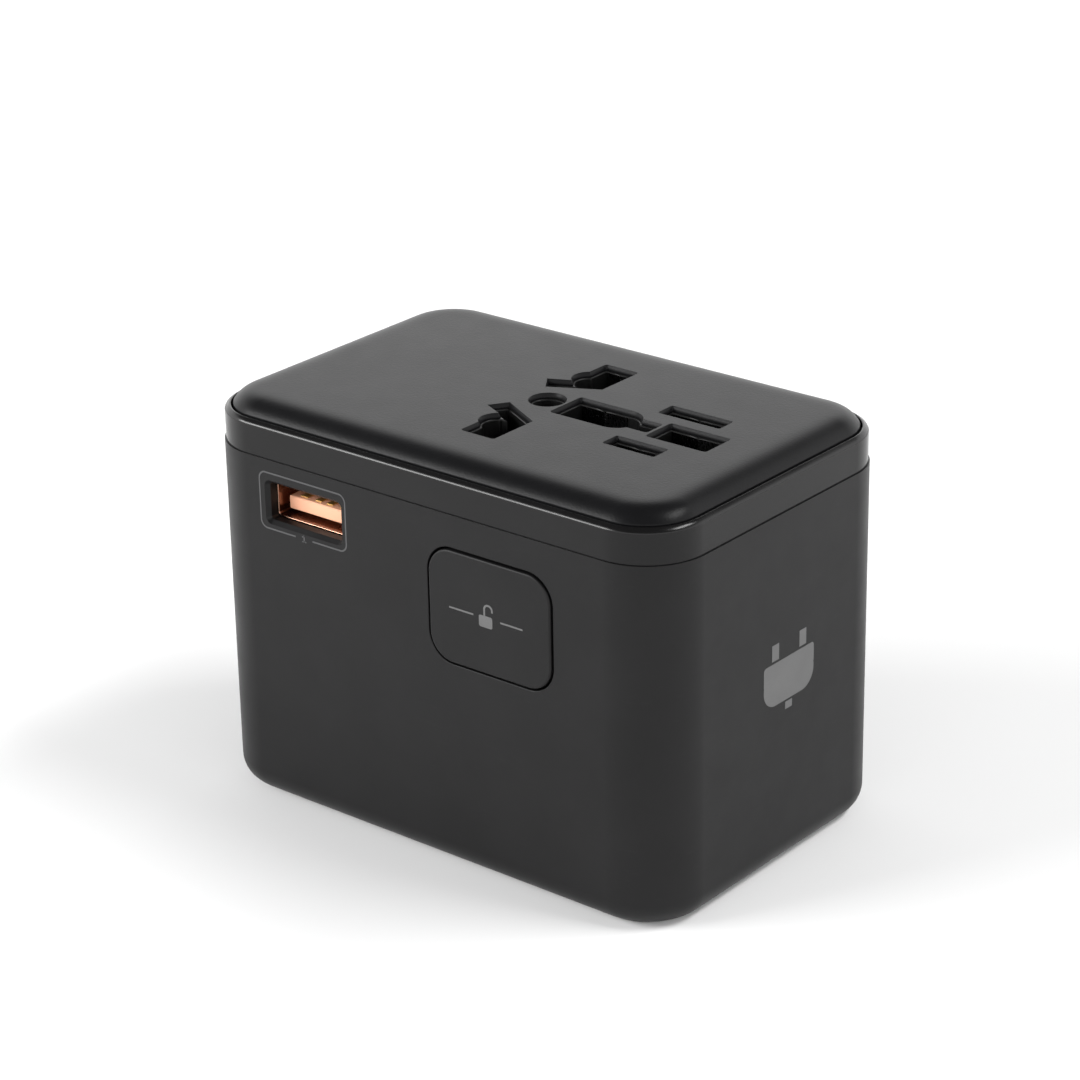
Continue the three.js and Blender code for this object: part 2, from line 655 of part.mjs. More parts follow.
const button = faceGroup('front', BUTTON.x, BUTTON.z);
adapter.add(button);
addPiece(button, 'unlock_button', unlockButton(), 'satinBlack');
addPiece(adapter, 'lock_plate', lockPlate(), 'nylon');

const BUTTON_SPRING = { r: 1.6, wireR: 0.22, turns: 3, x: 6.6, z: 2.2 };
const springBack = -(HALF_DEPTH - CORE.halfY) + GAP;
[-1, 1].forEach((side, index) => {
  const spring = coilSpring(BUTTON_SPRING.r, BUTTON_SPRING.wireR, flangeBack - GAP - springBack,
    BUTTON_SPRING.turns);
  addPiece(button, `button_spring_${index + 1}`, spring, 'steel',
    side * BUTTON_SPRING.x, BUTTON_SPRING.z, springBack);
});

// ---------------------------------------------------------------- plug sliders

// A group whose z = 0 is the underside of its retracted carriage
function sliderGroup(slider) {
  const group = new THREE.Group();
  group.position.z = LOW_Z + strokeOf(slider);
  adapter.add(group);
  return group;
}

function tipZ(length) {
  return -(LOW_Z + length);
}

const PIN_ROOT = 4.0; // how far a pin reaches up into its carriage
const POCKET = PIN_ROOT + GAP;
const ARM_Y = SLIDER_BACK_Y - SLIDER_ARM;

function carriage(outline, ...pockets) {
  return cut(extrude(polygon(outline), 0, CARRIAGE_H), ...pockets);
}

// The knob: a stem through the wall slot and a rounded pad with three grip ridges
function knob() {
  const wallFace = 0.25;
  const inner = SLIDER_BACK_Y + GAP - HALF_DEPTH;
  const ridge = 0.25;
  const pad = stack([
    ring(KNOB.width, KNOB.height, KNOB.r, wallFace, SMALL_CORNER_STEPS),
    ring(KNOB.width, KNOB.height, KNOB.r, KNOB.proud - 0.4, SMALL_CORNER_STEPS),
    ring(KNOB.width - 0.6, KNOB.height - 0.6, KNOB.r - 0.3, KNOB.proud - ridge, SMALL_CORNER_STEPS),
  ]);
  const half = KNOB.stem / 2;
  const ridges = [-1.1, 0, 1.1].map((z) => (
    box(-KNOB.width / 2 + 1.0, KNOB.width / 2 - 1.0, z - ridge, z + ridge, KNOB.proud - 2 * ridge, KNOB.proud)
  ));
  return join(pad, box(-half, half, -half, half, inner, wallFace + 0.3), ...ridges);
}

function addKnob(parent, name, slider) {
  const holder = faceGroup('back', slider.knobX, CARRIAGE_H / 2);
  parent.add(holder);
  addPiece(holder, name, knob(), 'satinBlack');
}

// European round pins
const eu = sliderGroup(EU);

function euPin() {
  const tip = tipZ(EU.pinLength);
  const r = EU.pinR;
  const dome = [[0, tip], [0.55 * r, tip + 0.15], [0.9 * r, tip + 0.7], [r, tip + 1.5]];
  return turned([...dome, [r, PIN_ROOT], [0, PIN_ROOT]], 16);
}

const EU_BAR = { x0: -8.4, x1: -2.6, y: 12.6, armX: -16.5 };
addPiece(eu, 'eu_carriage', carriage(
  [
    [EU_BAR.x0, -EU_BAR.y], [EU_BAR.x1, -EU_BAR.y], [EU_BAR.x1, SLIDER_BACK_Y],
    [EU_BAR.armX, SLIDER_BACK_Y], [EU_BAR.armX, ARM_Y], [EU_BAR.x0, ARM_Y],
  ],
  ...SIDES.map(([, side]) => rod(EU.x, side * EU.y, EU.pinR + GAP, -THROUGH, POCKET, 16)),
), 'nylon');
for (const [pole, side] of SIDES) {
  addPiece(eu, `eu_${pole}_pin`, euPin(), 'nickel', EU.x, side * EU.y, 0);
}
addKnob(eu, 'eu_knob', EU);

// British rectangular pins: the earth pin stands on the end of a U-shaped carriage
const uk = sliderGroup(UK);

function barPin(sizeX, sizeY, length) {
  const tip = tipZ(length);
  const chamfer = 0.8;
  const r = 0.4;
  return stack([
    ring(sizeX - 2 * chamfer, sizeY - 2 * chamfer, r, tip, SMALL_CORNER_STEPS),
    ring(sizeX, sizeY, r, tip + 1.5 * chamfer, SMALL_CORNER_STEPS),
    ring(sizeX, sizeY, r, PIN_ROOT, SMALL_CORNER_STEPS),
  ]);
}

function barPocket(x, y, sizeX, sizeY) {
  const halfX = sizeX / 2 + GAP;
  const halfY = sizeY / 2 + GAP;
  return box(x - halfX, x + halfX, y - halfY, y + halfY, -THROUGH, POCKET);
}

const UK_BAR = {
  x0: -1.8, x1: 4.9, frontY: -20.4, armY: -16.6, legX0: 18.6, legX1: 22.4, padX: 28.9, padY: 4.2,
};
addPiece(uk, 'uk_carriage', carriage(
  [
    [UK_BAR.x0, UK_BAR.frontY], [UK_BAR.legX1, UK_BAR.frontY], [UK_BAR.legX1, -UK_BAR.padY],
    [UK_BAR.padX, -UK_BAR.padY], [UK_BAR.padX, UK_BAR.padY], [UK_BAR.legX0, UK_BAR.padY],
    [UK_BAR.legX0, UK_BAR.armY], [UK_BAR.x1, UK_BAR.armY], [UK_BAR.x1, SLIDER_BACK_Y],
    [UK_BAR.x0, SLIDER_BACK_Y],
  ],
  ...SIDES.map(([, side]) => barPocket(UK.x, side * UK.y, UK_PIN.thick, UK_PIN.across)),
  barPocket(UK.earthX, 0, UK_PIN.earthAcross, UK_PIN.thick),
), 'nylon');
for (const [pole, side] of SIDES) {
  const pin = barPin(UK_PIN.thick, UK_PIN.across, UK.mainsLength);
  addPiece(uk, `uk_${pole}_pin`, pin, 'nickel', UK.x, side * UK.y, 0);
}
const earthPin = barPin(UK_PIN.earthAcross, UK_PIN.thick, UK.pinLength);
addPiece(uk, 'uk_earth_pin', earthPin, 'nickel', UK.earthX, 0, 0);
addKnob(uk, 'uk_knob', UK);

// American blades on rotors that turn them to the Australian angle
const us = sliderGroup(US);
const ROTOR = { z0: -2.1, z1: -0.3, journalR: 1.4, journalTop: 2.7, slotTop: -1.0 };

function bladeRotor() {
  const halfX = US.width / 2 + GAP;
  const halfY = US.thickness / 2 + GAP;
  return cut(
    join(
      rod(0, 0, US.discR, ROTOR.z0, ROTOR.z1, ROUND_STEPS + 4),
      rod(0, 0, ROTOR.journalR, ROTOR.z1 - 0.2, ROTOR.journalTop, SMALL_STEPS),
    ),
    box(-halfX, halfX, -halfY, halfY, ROTOR.z0 - THROUGH, ROTOR.slotTop),
  );
}

function blade() {
  const tip = tipZ(US.pinLength);
  const top = ROTOR.slotTop - GAP;
  const half = US.width / 2;
  const chamfer = 1.0;
  const outline = polygon([
    [-half + chamfer, tip], [half - chamfer, tip], [half, tip + 1.6 * chamfer], [half, top],
    [-half, top], [-half, tip + 1.6 * chamfer],
  ]);
  const hole = new THREE.Path();
  hole.absarc(0, tip + 4.0, 1.5, 0, 2 * Math.PI, true);
  outline.holes.push(hole);
  const options = { depth: US.thickness, bevelEnabled: false, curveSegments: SMALL_STEPS };
  const sheet = new THREE.ExtrudeGeometry(outline, options);
  return sheet.rotateX(Math.PI / 2).translate(0, US.thickness / 2, 0);
}

const US_BAR = { x0: 5.6, x1: 14.0, y: 11.4, armX: 19.5 };
addPiece(us, 'us_carriage', carriage(
  [
    [US_BAR.x0, -US_BAR.y], [US_BAR.x1, -US_BAR.y], [US_BAR.x1, ARM_Y],
    [US_BAR.armX, ARM_Y], [US_BAR.armX, SLIDER_BACK_Y], [US_BAR.x0, SLIDER_BACK_Y],
  ],
  ...SIDES.map(([, side]) => (
    rod(US.x, side * US.y, ROTOR.journalR + GAP, -THROUGH, ROTOR.journalTop + GAP, SMALL_STEPS)
  )),
), 'nylon');
for (const [pole, side] of SIDES) {
  const turning = new THREE.Group();
  turning.position.set(US.x, side * US.y, 0);
  us.add(turning);
  addPiece(turning, `us_${pole}_rotor`, bladeRotor(), 'nylon');
  addPiece(turning, `us_${pole}_blade`, blade(), 'nickel');
}
addKnob(us, 'us_knob', US);

// ---------------------------------------------------------------- charger ports

// A port's metal shell and tongue, drawn looking into the mouth: z = 0 is the housing's face
function addPort(name, port, tongue, face, u, v) {
  const group = faceGroup(face, u, v);
  adapter.add(group);
  const { width, height, sheet, depth, r } = port;
  const front = -SHELL_RECESS;
  const back = front - depth;
  const shell = cut(
    slab(width, height, r, back, front, port.steps),
    slab(width - 2 * sheet, height - 2 * sheet, r - sheet, back + 0.5, front + THROUGH, port.steps),
  );
  addPiece(group, `${name}_shell`, shell, 'steel');
  const half = tongue.width / 2;
  const bar = box(-half, half, tongue.y0, tongue.y1, back + 0.5 + GAP, front - tongue.recess);
  addPiece(group, `${name}_tongue`, bar, tongue.finish);
}

const USB_A_TONGUE = { width: 11.3, y0: -0.85, y1: 1.25, recess: 0.5, finish: 'orange' };
const USB_C_TONGUE = { width: 6.7, y0: -0.35, y1: 0.35, recess: 1.0, finish: 'innerBlack' };
addPort('front_usb_a', USB_A, USB_A_TONGUE, 'front', FRONT_PORT_X, PORT_Z);
addPort('end_usb_a', USB_A, USB_A_TONGUE, 'end', END_PORT_Y, PORT_Z);
addPort('end_usb_c', USB_C, USB_C_TONGUE, 'end', END_USB_C_Y, CHARGER_BOARD.topZ + GAP + USB_C.height / 2);

// ---------------------------------------------------------------- charger electronics

const chargerBoard = box(CHARGER_BOARD.x0, CHARGER_BOARD.x1, -CHARGER_BOARD.halfY, CHARGER_BOARD.halfY,
  CHARGER_BOARD.topZ - BOARD, CHARGER_BOARD.topZ);
addPiece(adapter, 'charger_board', chargerBoard, 'board');

const mains = new THREE.Group();
mains.position.z = MAINS_BOARD.z0 + BOARD + GAP; // z = 0 is where parts stand on the mains board
adapter.add(mains);
const mainsBoard = box(MAINS_BOARD.x0, MAINS_BOARD.x1, -MAINS_BOARD.halfY, MAINS_BOARD.halfY,
  -BOARD - GAP, -GAP);
addPiece(mains, 'mains_board', mainsBoard, 'board');

const TRANSFORMER = { x: -27, y: -8, width: 14, depth: 7, height: 14, leg: 3.0, yoke: 2.1 };

// Local to the transformer: a ferrite frame with a middle leg, and the winding around that leg
function transformerCore() {
  const { width, depth, height, leg, yoke } = TRANSFORMER;
  const windows = [-1, 1].map((side) => (
    sideWindow(side * leg / 2, side * (width / 2 - yoke), depth, yoke, height - yoke)
  ));
  return cut(box(-width / 2, width / 2, -depth / 2, depth / 2, 0, height), ...windows);
}

function sideWindow(xa, xb, depth, z0, z1) {
  return box(Math.min(xa, xb), Math.max(xa, xb), -depth / 2 - THROUGH, depth / 2 + THROUGH, z0, z1);
}

function transformerWinding() {
  const { width, depth, height, leg, yoke } = TRANSFORMER;
  const outerX = width / 2 - yoke - GAP;
  const innerX = leg / 2 + GAP;
  const innerY = depth / 2 + GAP;
  const z0 = yoke + GAP;
  const z1 = height - yoke - GAP;
  return cut(
    slab(2 * outerX, depth + 4.4, 1.5, z0, z1),
    box(-innerX, innerX, -innerY, innerY, z0 - THROUGH, z1 + THROUGH),
  );
}

addPiece(mains, 'transformer_core', transformerCore(), 'ferrite', TRANSFORMER.x, TRANSFORMER.y, 0);
addPiece(mains, 'transformer_winding', transformerWinding(), 'tape', TRANSFORMER.x, TRANSFORMER.y, 0);

const CAPACITOR = { x: -29.5, y: 2.7, r: 4.0, height: 15, groove: 0.35 };

function capacitor() {
  const { r, height, groove } = CAPACITOR;
  return turned([
    [0, 0], [r, 0], [r, 1.2], [r - groove, 1.6], [r, 2.0], [r, height - 0.4], [r - 0.4, height], [0, height],
  ], 16);
}

addPiece(mains, 'smoothing_capacitor', capacitor(), 'sleeve', CAPACITOR.x, CAPACITOR.y, 0);

const HEAT_SINK = { x0: -34, x1: -19, y0: 8.5, y1: 13.0, plate: 1.2, fin: 1.0, fins: 5, height: 15 };

function heatSink() {
  const { x0, x1, y0, y1, plate, fin, fins, height } = HEAT_SINK;
  const pitch = (x1 - x0 - fin) / (fins - 1);
  const blades = Array.from({ length: fins }, (_, index) => (
    box(x0 + index * pitch, x0 + index * pitch + fin, y0 + plate / 2, y1, 0, height)
  ));
  return join(box(x0, x1, y0, y0 + plate, 0, height), ...blades);
}

addPiece(mains, 'heat_sink', heatSink(), 'aluminium');

// ---------------------------------------------------------------- fuse

// Local z runs along the fuse, from the middle; the clips hang from the charger board
const fuse = new THREE.Group();
fuse.position.set(FUSE.x, 0, FUSE.z);
fuse.rotation.x = -Math.PI / 2;
adapter.add(fuse);

const FUSE_CAP = { r: 2.65, wall: 0.25, length: 5.0 };
const glassHalf = FUSE.length / 2 - FUSE_CAP.wall - GAP;
const glassR = FUSE_CAP.r - FUSE_CAP.wall - GAP;
addPiece(fuse, 'fuse_glass', rod(0, 0, glassR, -glassHalf, glassHalf, 16), 'glass');

function fuseCap(side) {
  const outer = side * FUSE.length / 2;
  const inner = outer - side * FUSE_CAP.length;
  const floor = outer - side * FUSE_CAP.wall;
  const bore = inner - side * THROUGH;
  return cut(
    rod(0, 0, FUSE_CAP.r, Math.min(outer, inner), Math.max(outer, inner), 16),
    rod(0, 0, FUSE_CAP.r - FUSE_CAP.wall, Math.min(bore, floor), Math.max(bore, floor), 16),
  );
}

// A clip in the fuse's own frame, where -y is up: a block with a round seat, open downwards
function fuseClip(side) {
  const seat = FUSE_CAP.r + GAP;
  const wall = 0.7;
  const middle = side * (FUSE.length / 2 - FUSE_CAP.length / 2);
  const z0 = middle - 1.5;
  const z1 = middle + 1.5;
  const up = -(CHARGER_BOARD.topZ - BOARD - GAP - FUSE.z);
  return cut(
    box(-seat - wall, seat + wall, up, 2.0, z0, z1),
    rod(0, 0, seat, z0 - THROUGH, z1 + THROUGH, 16),
    box(-2.2, 2.2, 0, 3.0, z0 - THROUGH, z1 + THROUGH),
  );
}

[['front', 1], ['rear', -1]].forEach(([place, side]) => {
  addPiece(fuse, `fuse_cap_${place}`, fuseCap(side), 'nickel');
  addPiece(fuse, `fuse_clip_${place}`, fuseClip(side), 'brass');
});

export default adapter;
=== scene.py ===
"""Universal travel adapter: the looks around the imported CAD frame.

Sizes are in millimetres, in the part's own frame (+Z up, -Y front, +X right), until a
mesh is made; Blender's own units are metres.
"""

import math

import bmesh
import bpy
from mathutils import Matrix, Vector


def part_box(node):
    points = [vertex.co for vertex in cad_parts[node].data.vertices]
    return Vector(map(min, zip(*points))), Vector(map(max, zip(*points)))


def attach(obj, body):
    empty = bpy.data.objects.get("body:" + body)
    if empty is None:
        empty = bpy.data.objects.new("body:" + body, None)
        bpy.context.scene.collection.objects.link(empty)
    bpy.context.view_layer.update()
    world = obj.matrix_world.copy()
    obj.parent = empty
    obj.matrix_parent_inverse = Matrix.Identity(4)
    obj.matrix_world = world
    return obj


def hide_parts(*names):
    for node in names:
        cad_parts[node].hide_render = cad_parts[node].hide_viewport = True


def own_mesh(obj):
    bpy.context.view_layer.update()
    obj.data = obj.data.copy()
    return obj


MM = 0.001

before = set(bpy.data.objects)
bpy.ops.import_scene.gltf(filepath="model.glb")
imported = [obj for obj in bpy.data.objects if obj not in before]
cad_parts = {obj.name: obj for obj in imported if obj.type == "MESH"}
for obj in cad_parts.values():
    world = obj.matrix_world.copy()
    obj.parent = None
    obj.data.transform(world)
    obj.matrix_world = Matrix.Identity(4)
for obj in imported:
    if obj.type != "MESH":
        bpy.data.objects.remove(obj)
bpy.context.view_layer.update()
scene = bpy.context.scene
scene.view_settings.view_transform = "Standard"

# ---------------------------------------------------------------- sizes


def box_mm(node):
    low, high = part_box(node)
    return low / MM, high / MM


def node_place(node):
    """A CAD node's low and high corners, and its middle in x and y."""
    low, high = box_mm(node)
    return low, high, (low.x + high.x) / 2, (low.y + high.y) / 2


SHELL_LOW, SHELL_HIGH = box_mm("main_housing")
LENGTH = SHELL_HIGH.x - SHELL_LOW.x
HALF_LENGTH = LENGTH / 2
HALF_DEPTH = -SHELL_LOW.y
DEPTH = 2 * HALF_DEPTH
PARTING_Z = SHELL_HIGH.z
TOP_Z = box_mm("socket_panel")[1].z

CORNER_R = 8.9
BASE_FILLET = 3.75
WALL = 2.2
FLOOR = 2.0
PLATE_INSET = 4.4
GAP = 0.3
THROUGH = 1.0  # how far a cutting solid runs past the face it opens

# The bevel runs as [inset, depth below the lip]; the upright face ends at face_top below the lip
BAND = {
    "inset": 0.2,
    "lip_z": 55.06,
    "mouth_inset": 1.05,
    "face_top": 0.68,
    "bevel": [(0.83, 0.0), (0.79, 0.015), (0.42, 0.26), (0.26, 0.51), (0.2, 0.62)],
}
LEDGE = {"inset": 3.4, "z": 53.0, "skirt_z": 47.5}
PANEL = {
    "inset": 1.33,
    "edge_z": 55.25,
    "edge_r": 0.36,
    "edge_slope": 56,
    "top_inset": 7.9,
    "under_z": 56.3,
    "hollow_inset": 4.0,
}
GUIDE = {"x0": -8.0, "x1": 31.0, "half_y": 18.5, "z0": 52.6, "z1": 56.25}
SHUTTER_STOP = {"x": -23.0, "half_y": 2.0, "thickness": 1.0, "low": 50.5, "top": 53.8}

BUTTON = {"x": 11.7, "z": 37.75, "width": 20.4, "height": 16.2, "r": 4.0, "proud": 0.2}
PORT_Z = 44.35
FRONT_PORT_X = -19.75
END_PORT_Y = -3.0
END_USB_C_Y = 10.5
END_USB_C_Z = 43.1
USB_A = {"width": 13.1, "height": 5.7, "r": 0.6}
USB_C = {"width": 8.94, "height": 3.2, "r": 1.3}
POCKET_DEPTH = 1.8  # housing face to the pocket that holds a port's metal shell
LIP_R = 0.12  # rounded lips of the button's hole and the knobs' slots

# Plug pins: places, sizes across, and the turning discs of the American blades
EU_PIN = {"x": -5.4, "y": 9.5, "r": 2.0}
UK_PIN = {"x": 1.55, "y": 11.1, "earth_x": 23.75, "across": 6.35, "thick": 4.0, "earth_across": 8.0}
US_PIN = {"x": 9.8, "y": 6.6, "width": 6.35, "thick": 1.5, "disc_r": 3.6}
BAR_R = 0.45  # corner radius of a rectangular pin

# ---------------------------------------------------------------- meshes

CORNER_STEPS = 20
ROUND_STEPS = 64


def new_piece(name, vertices, faces):
    """A mesh object from points in millimetres."""
    mesh = bpy.data.meshes.new(name)
    mesh.from_pydata([tuple(c * MM for c in v) for v in vertices], [], faces)
    shape = bmesh.new()
    shape.from_mesh(mesh)
    bmesh.ops.recalc_face_normals(shape, faces=shape.faces)
    shape.to_mesh(mesh)
    shape.free()
    piece = bpy.data.objects.new(name, mesh)
    scene.collection.objects.link(piece)
    return piece


def loft(name, rings, closed=False):
    """A skin through rings of points; closed joins the last to the first, else the ends are capped."""
    count = len(rings[0])
    last = len(rings) - 1
    faces = []
    for a in range(len(rings) if closed else last):
        b = (a + 1) % len(rings)
        for i in range(count):
            j = (i + 1) % count
            faces.append((a * count + i, a * count + j, b * count + j, b * count + i))
    if not closed:
        faces.append(tuple(reversed(range(count))))
        faces.append(tuple(range(last * count, (last + 1) * count)))
    return new_piece(name, [point for ring in rings for point in ring], faces)


def rounded(width, height, radius, steps=CORNER_STEPS):
    """The outline of a rounded rectangle round the origin, anticlockwise."""
    r = max(0.01, min(radius, min(width, height) / 2 - 0.001))
    points = []
    for corner in range(4):
        middle = (corner + 0.5) * math.pi / 2
        cx = math.copysign(width / 2 - r, math.cos(middle))
        cy = math.copysign(height / 2 - r, math.sin(middle))
        for step in range(steps + 1):
            angle = (corner + step / steps) * math.pi / 2
            points.append((cx + r * math.cos(angle), cy + r * math.sin(angle)))
    return points


def level(outline, z):
    return [(x, y, z) for x, y in outline]


def plan(inset, z):
    """The housing's own outline, moved in by an inset."""
    return level(rounded(LENGTH - 2 * inset, DEPTH - 2 * inset, CORNER_R - inset), z)


def circle(x, y, radius, steps=ROUND_STEPS):
    return [
        (x + radius * math.cos(2 * math.pi * i / steps), y + radius * math.sin(2 * math.pi * i / steps))
        for i in range(steps)
    ]


def rectangle(x0, x1, y0, y1, r=0.3, steps=4):
    middle = ((x0 + x1) / 2, (y0 + y1) / 2)
    return [(x + middle[0], y + middle[1]) for x, y in rounded(x1 - x0, y1 - y0, r, steps)]


def anticlockwise(points):
    area = sum(a[0] * b[1] - b[0] * a[1] for a, b in zip(points, points[1:] + points[:1]))
    return points if area > 0 else points[::-1]


def offset(outline, distance):
    """A convex outline moved out by a distance, with mitred corners."""
    moved = []
    count = len(outline)
    for i in range(count):
        before = Vector(outline[i]) - Vector(outline[i - 1])
        after = Vector(outline[(i + 1) % count]) - Vector(outline[i])
        normals = [Vector((side.y, -side.x)).normalized() for side in (before, after)]
        mitre = (normals[0] + normals[1]).normalized()
        point = Vector(outline[i]) + mitre * distance / max(mitre.dot(normals[0]), 0.3)
        moved.append(tuple(point))
    return moved


def column(name, outline, levels):
    """A convex outline stacked through [offset, z] levels."""
    outline = anticlockwise(outline)
    return loft(name, [level(offset(outline, out), z) for out, z in levels])


def block(name, x0, x1, y0, y1, z0, z1):
    return loft(name, [level([(x0, y0), (x1, y0), (x1, y1), (x0, y1)], z) for z in (z0, z1)])


def turned(name, profile, steps=ROUND_STEPS):
    """A turned piece round Z, from a profile of (radius, z) that ends off the axis."""
    return loft(name, [level(circle(0, 0, radius, steps), z) for radius, z in profile])


def arc(cx, cy, radius, start, end, steps):
    """Points on an arc, angles in degrees."""
    angles = [math.radians(start + (end - start) * i / steps) for i in range(steps + 1)]
    return [(cx + radius * math.cos(a), cy + radius * math.sin(a)) for a in angles]


def settle(piece):
    """Applies the piece's modifiers to its mesh."""
    depsgraph = bpy.context.evaluated_depsgraph_get()
    mesh = bpy.data.meshes.new_from_object(piece.evaluated_get(depsgraph))
    piece.modifiers.clear()
    piece.data = mesh
    return piece


def combine(piece, tools, operation):
    """Joins tools to a piece, or cuts them out of it; the tools are used up."""
    group = bpy.data.collections.new("tools")
    for tool in tools:
        group.objects.link(tool)
    modifier = piece.modifiers.new("combine", "BOOLEAN")
    modifier.operation = operation
    modifier.operand_type = "COLLECTION"
    modifier.collection = group
    modifier.solver = "EXACT"
    settle(piece)
    for tool in tools:
        bpy.data.objects.remove(tool)
    bpy.data.collections.remove(group)
    return piece


def cut(piece, *tools):
    return combine(piece, tools, "DIFFERENCE")


def join(piece, *tools):
    return combine(piece, tools, "UNION")


def gather(name, pieces):
    """Separate closed shapes kept in one piece."""
    shape = bmesh.new()
    for piece in pieces:
        shape.from_mesh(piece.data)
        bpy.data.objects.remove(piece)
    mesh = bpy.data.meshes.new(name)
    shape.to_mesh(mesh)
    shape.free()
    piece = bpy.data.objects.new(name, mesh)
    scene.collection.objects.link(piece)
    return piece


def placed(piece, matrix):
    """Moves a piece's mesh; the matrix is in millimetres."""
    scaled = matrix.copy()
    scaled.translation = matrix.translation * MM
    piece.data.transform(scaled)
    return piece


def at(piece, x, y, z):
    return placed(piece, Matrix.Translation((x, y, z)))


FACES = {
    "front": ((1, 0, 0), (0, -1, 0), lambda u, v: (u, -HALF_DEPTH, v)),
    "back": ((-1, 0, 0), (0, 1, 0), lambda u, v: (u, HALF_DEPTH, v)),
    "left": ((0, -1, 0), (-1, 0, 0), lambda u, v: (-HALF_LENGTH, u, v)),
    "right": ((0, 1, 0), (1, 0, 0), lambda u, v: (HALF_LENGTH, u, v)),
}


def facing(piece, face, x, y, z):
    """Turns a piece drawn with x right, y up and z out of a face to face that way, at a point."""
    right, out, _ = FACES[face]
    axes = Matrix((right, (0, 0, 1), out)).transposed().to_4x4()
    return placed(piece, Matrix.Translation((x, y, z)) @ axes)


def on_face(piece, face, u, v):
    """Puts a piece drawn with x right, y up and z out onto a face of the housing."""
    spot = FACES[face][2]
    return facing(piece, face, *spot(u, v))


def shaded(piece, angle=32):
    """Smooth shading, with true edges kept sharp and large faces kept flat."""
    piece.data.shade_smooth()
    piece.data.set_sharp_from_angle(angle=math.radians(angle))
    modifier = piece.modifiers.new("normals", "WEIGHTED_NORMAL")
    modifier.keep_sharp = True
    return piece


# ---------------------------------------------------------------- materials


def mix(tree, kind, factor, a, b):
    node = tree.nodes.new("ShaderNodeMix")
    node.data_type = "RGBA"
    node.blend_type = kind
    tree.links.new(factor, node.inputs["Factor"])
    for value, socket in ((a, node.inputs[6]), (b, node.inputs[7])):
        if isinstance(value, tuple):
            socket.default_value = value
        else:
            tree.links.new(value, socket)
    return node.outputs[2]


def noise(tree, place, scale, detail=2.0, stretch=(1, 1, 1)):
    mapping = tree.nodes.new("ShaderNodeMapping")
    mapping.inputs["Scale"].default_value = stretch
    tree.links.new(place, mapping.inputs["Vector"])
    node = tree.nodes.new("ShaderNodeTexNoise")
    node.inputs["Scale"].default_value = scale / MM
    node.inputs["Detail"].default_value = detail
    tree.links.new(mapping.outputs["Vector"], node.inputs["Vector"])
    return node.outputs["Fac"]


def spread(tree, value, low, high, to_low=0.0, to_high=1.0):
    node = tree.nodes.new("ShaderNodeMapRange")
    node.inputs["From Min"].default_value = low
    node.inputs["From Max"].default_value = high
    node.inputs["To Min"].default_value = to_low
    node.inputs["To Max"].default_value = to_high
    tree.links.new(value, node.inputs["Value"])
    return node.outputs["Result"]


def finish(name, colour, rough, metallic=0.0, specular=0.5, grain=2.0, depth=0.004, vary=0.06,
           fade=0.25, worn=0.0, stretch=(1, 1, 1), coat=0.0, ripple=0.0):
    """A moulded or metal finish. grain is the speckle's frequency per mm and depth its height in
    mm; vary is how far roughness wanders, fade how far colour does, worn how many faint rubs show,
    and ripple the height of slow moulding waves in mm."""
    material = bpy.data.materials.new(name)
    material.use_nodes = True
    tree = material.node_tree
    shader = tree.nodes["Principled BSDF"]
    shader.inputs["Metallic"].default_value = metallic
    shader.inputs["Specular IOR Level"].default_value = specular
    shader.inputs["Coat Weight"].default_value = coat
    shader.inputs["Coat Roughness"].default_value = 0.12
    place = tree.nodes.new("ShaderNodeTexCoord").outputs["Object"]

    cloud = noise(tree, place, 0.11, 3.0)
    darker = tuple(c * (1 - fade) for c in colour[:3]) + (1.0,)
    tint = mix(tree, "MIX", spread(tree, cloud, 0.3, 0.7), colour, darker)
    speckle = noise(tree, place, grain, 3.0, stretch)
    rubs = noise(tree, place, 0.35, 5.0, (1, 1, 6))
    if worn:
        lighter = tuple(min(1.0, c * 1.6 + 0.01) for c in colour[:3]) + (1.0,)
        tint = mix(tree, "MIX", spread(tree, rubs, 0.62, 0.8, 0.0, worn), tint, lighter)
    tree.links.new(tint, shader.inputs["Base Color"])

    patches = spread(tree, noise(tree, place, 0.25, 4.0), 0.3, 0.7, -vary, vary)
    fine = spread(tree, speckle, 0.3, 0.7, rough - vary / 2, rough + vary / 2)
    total = tree.nodes.new("ShaderNodeMath")
    total.operation = "ADD"
    tree.links.new(patches, total.inputs[0])
    tree.links.new(fine, total.inputs[1])
    tree.links.new(total.outputs[0], shader.inputs["Roughness"])

    bump = tree.nodes.new("ShaderNodeBump")
    bump.inputs["Strength"].default_value = 1.0
    bump.inputs["Distance"].default_value = depth * MM
    tree.links.new(speckle, bump.inputs["Height"])
    if ripple:
        wave = tree.nodes.new("ShaderNodeBump")
        wave.inputs["Strength"].default_value = 1.0
        wave.inputs["Distance"].default_value = ripple * MM
        tree.links.new(noise(tree, place, 0.05, 1.0), wave.inputs["Height"])
        tree.links.new(wave.outputs["Normal"], bump.inputs["Normal"])
    tree.links.new(bump.outputs["Normal"], shader.inputs["Normal"])
    return material


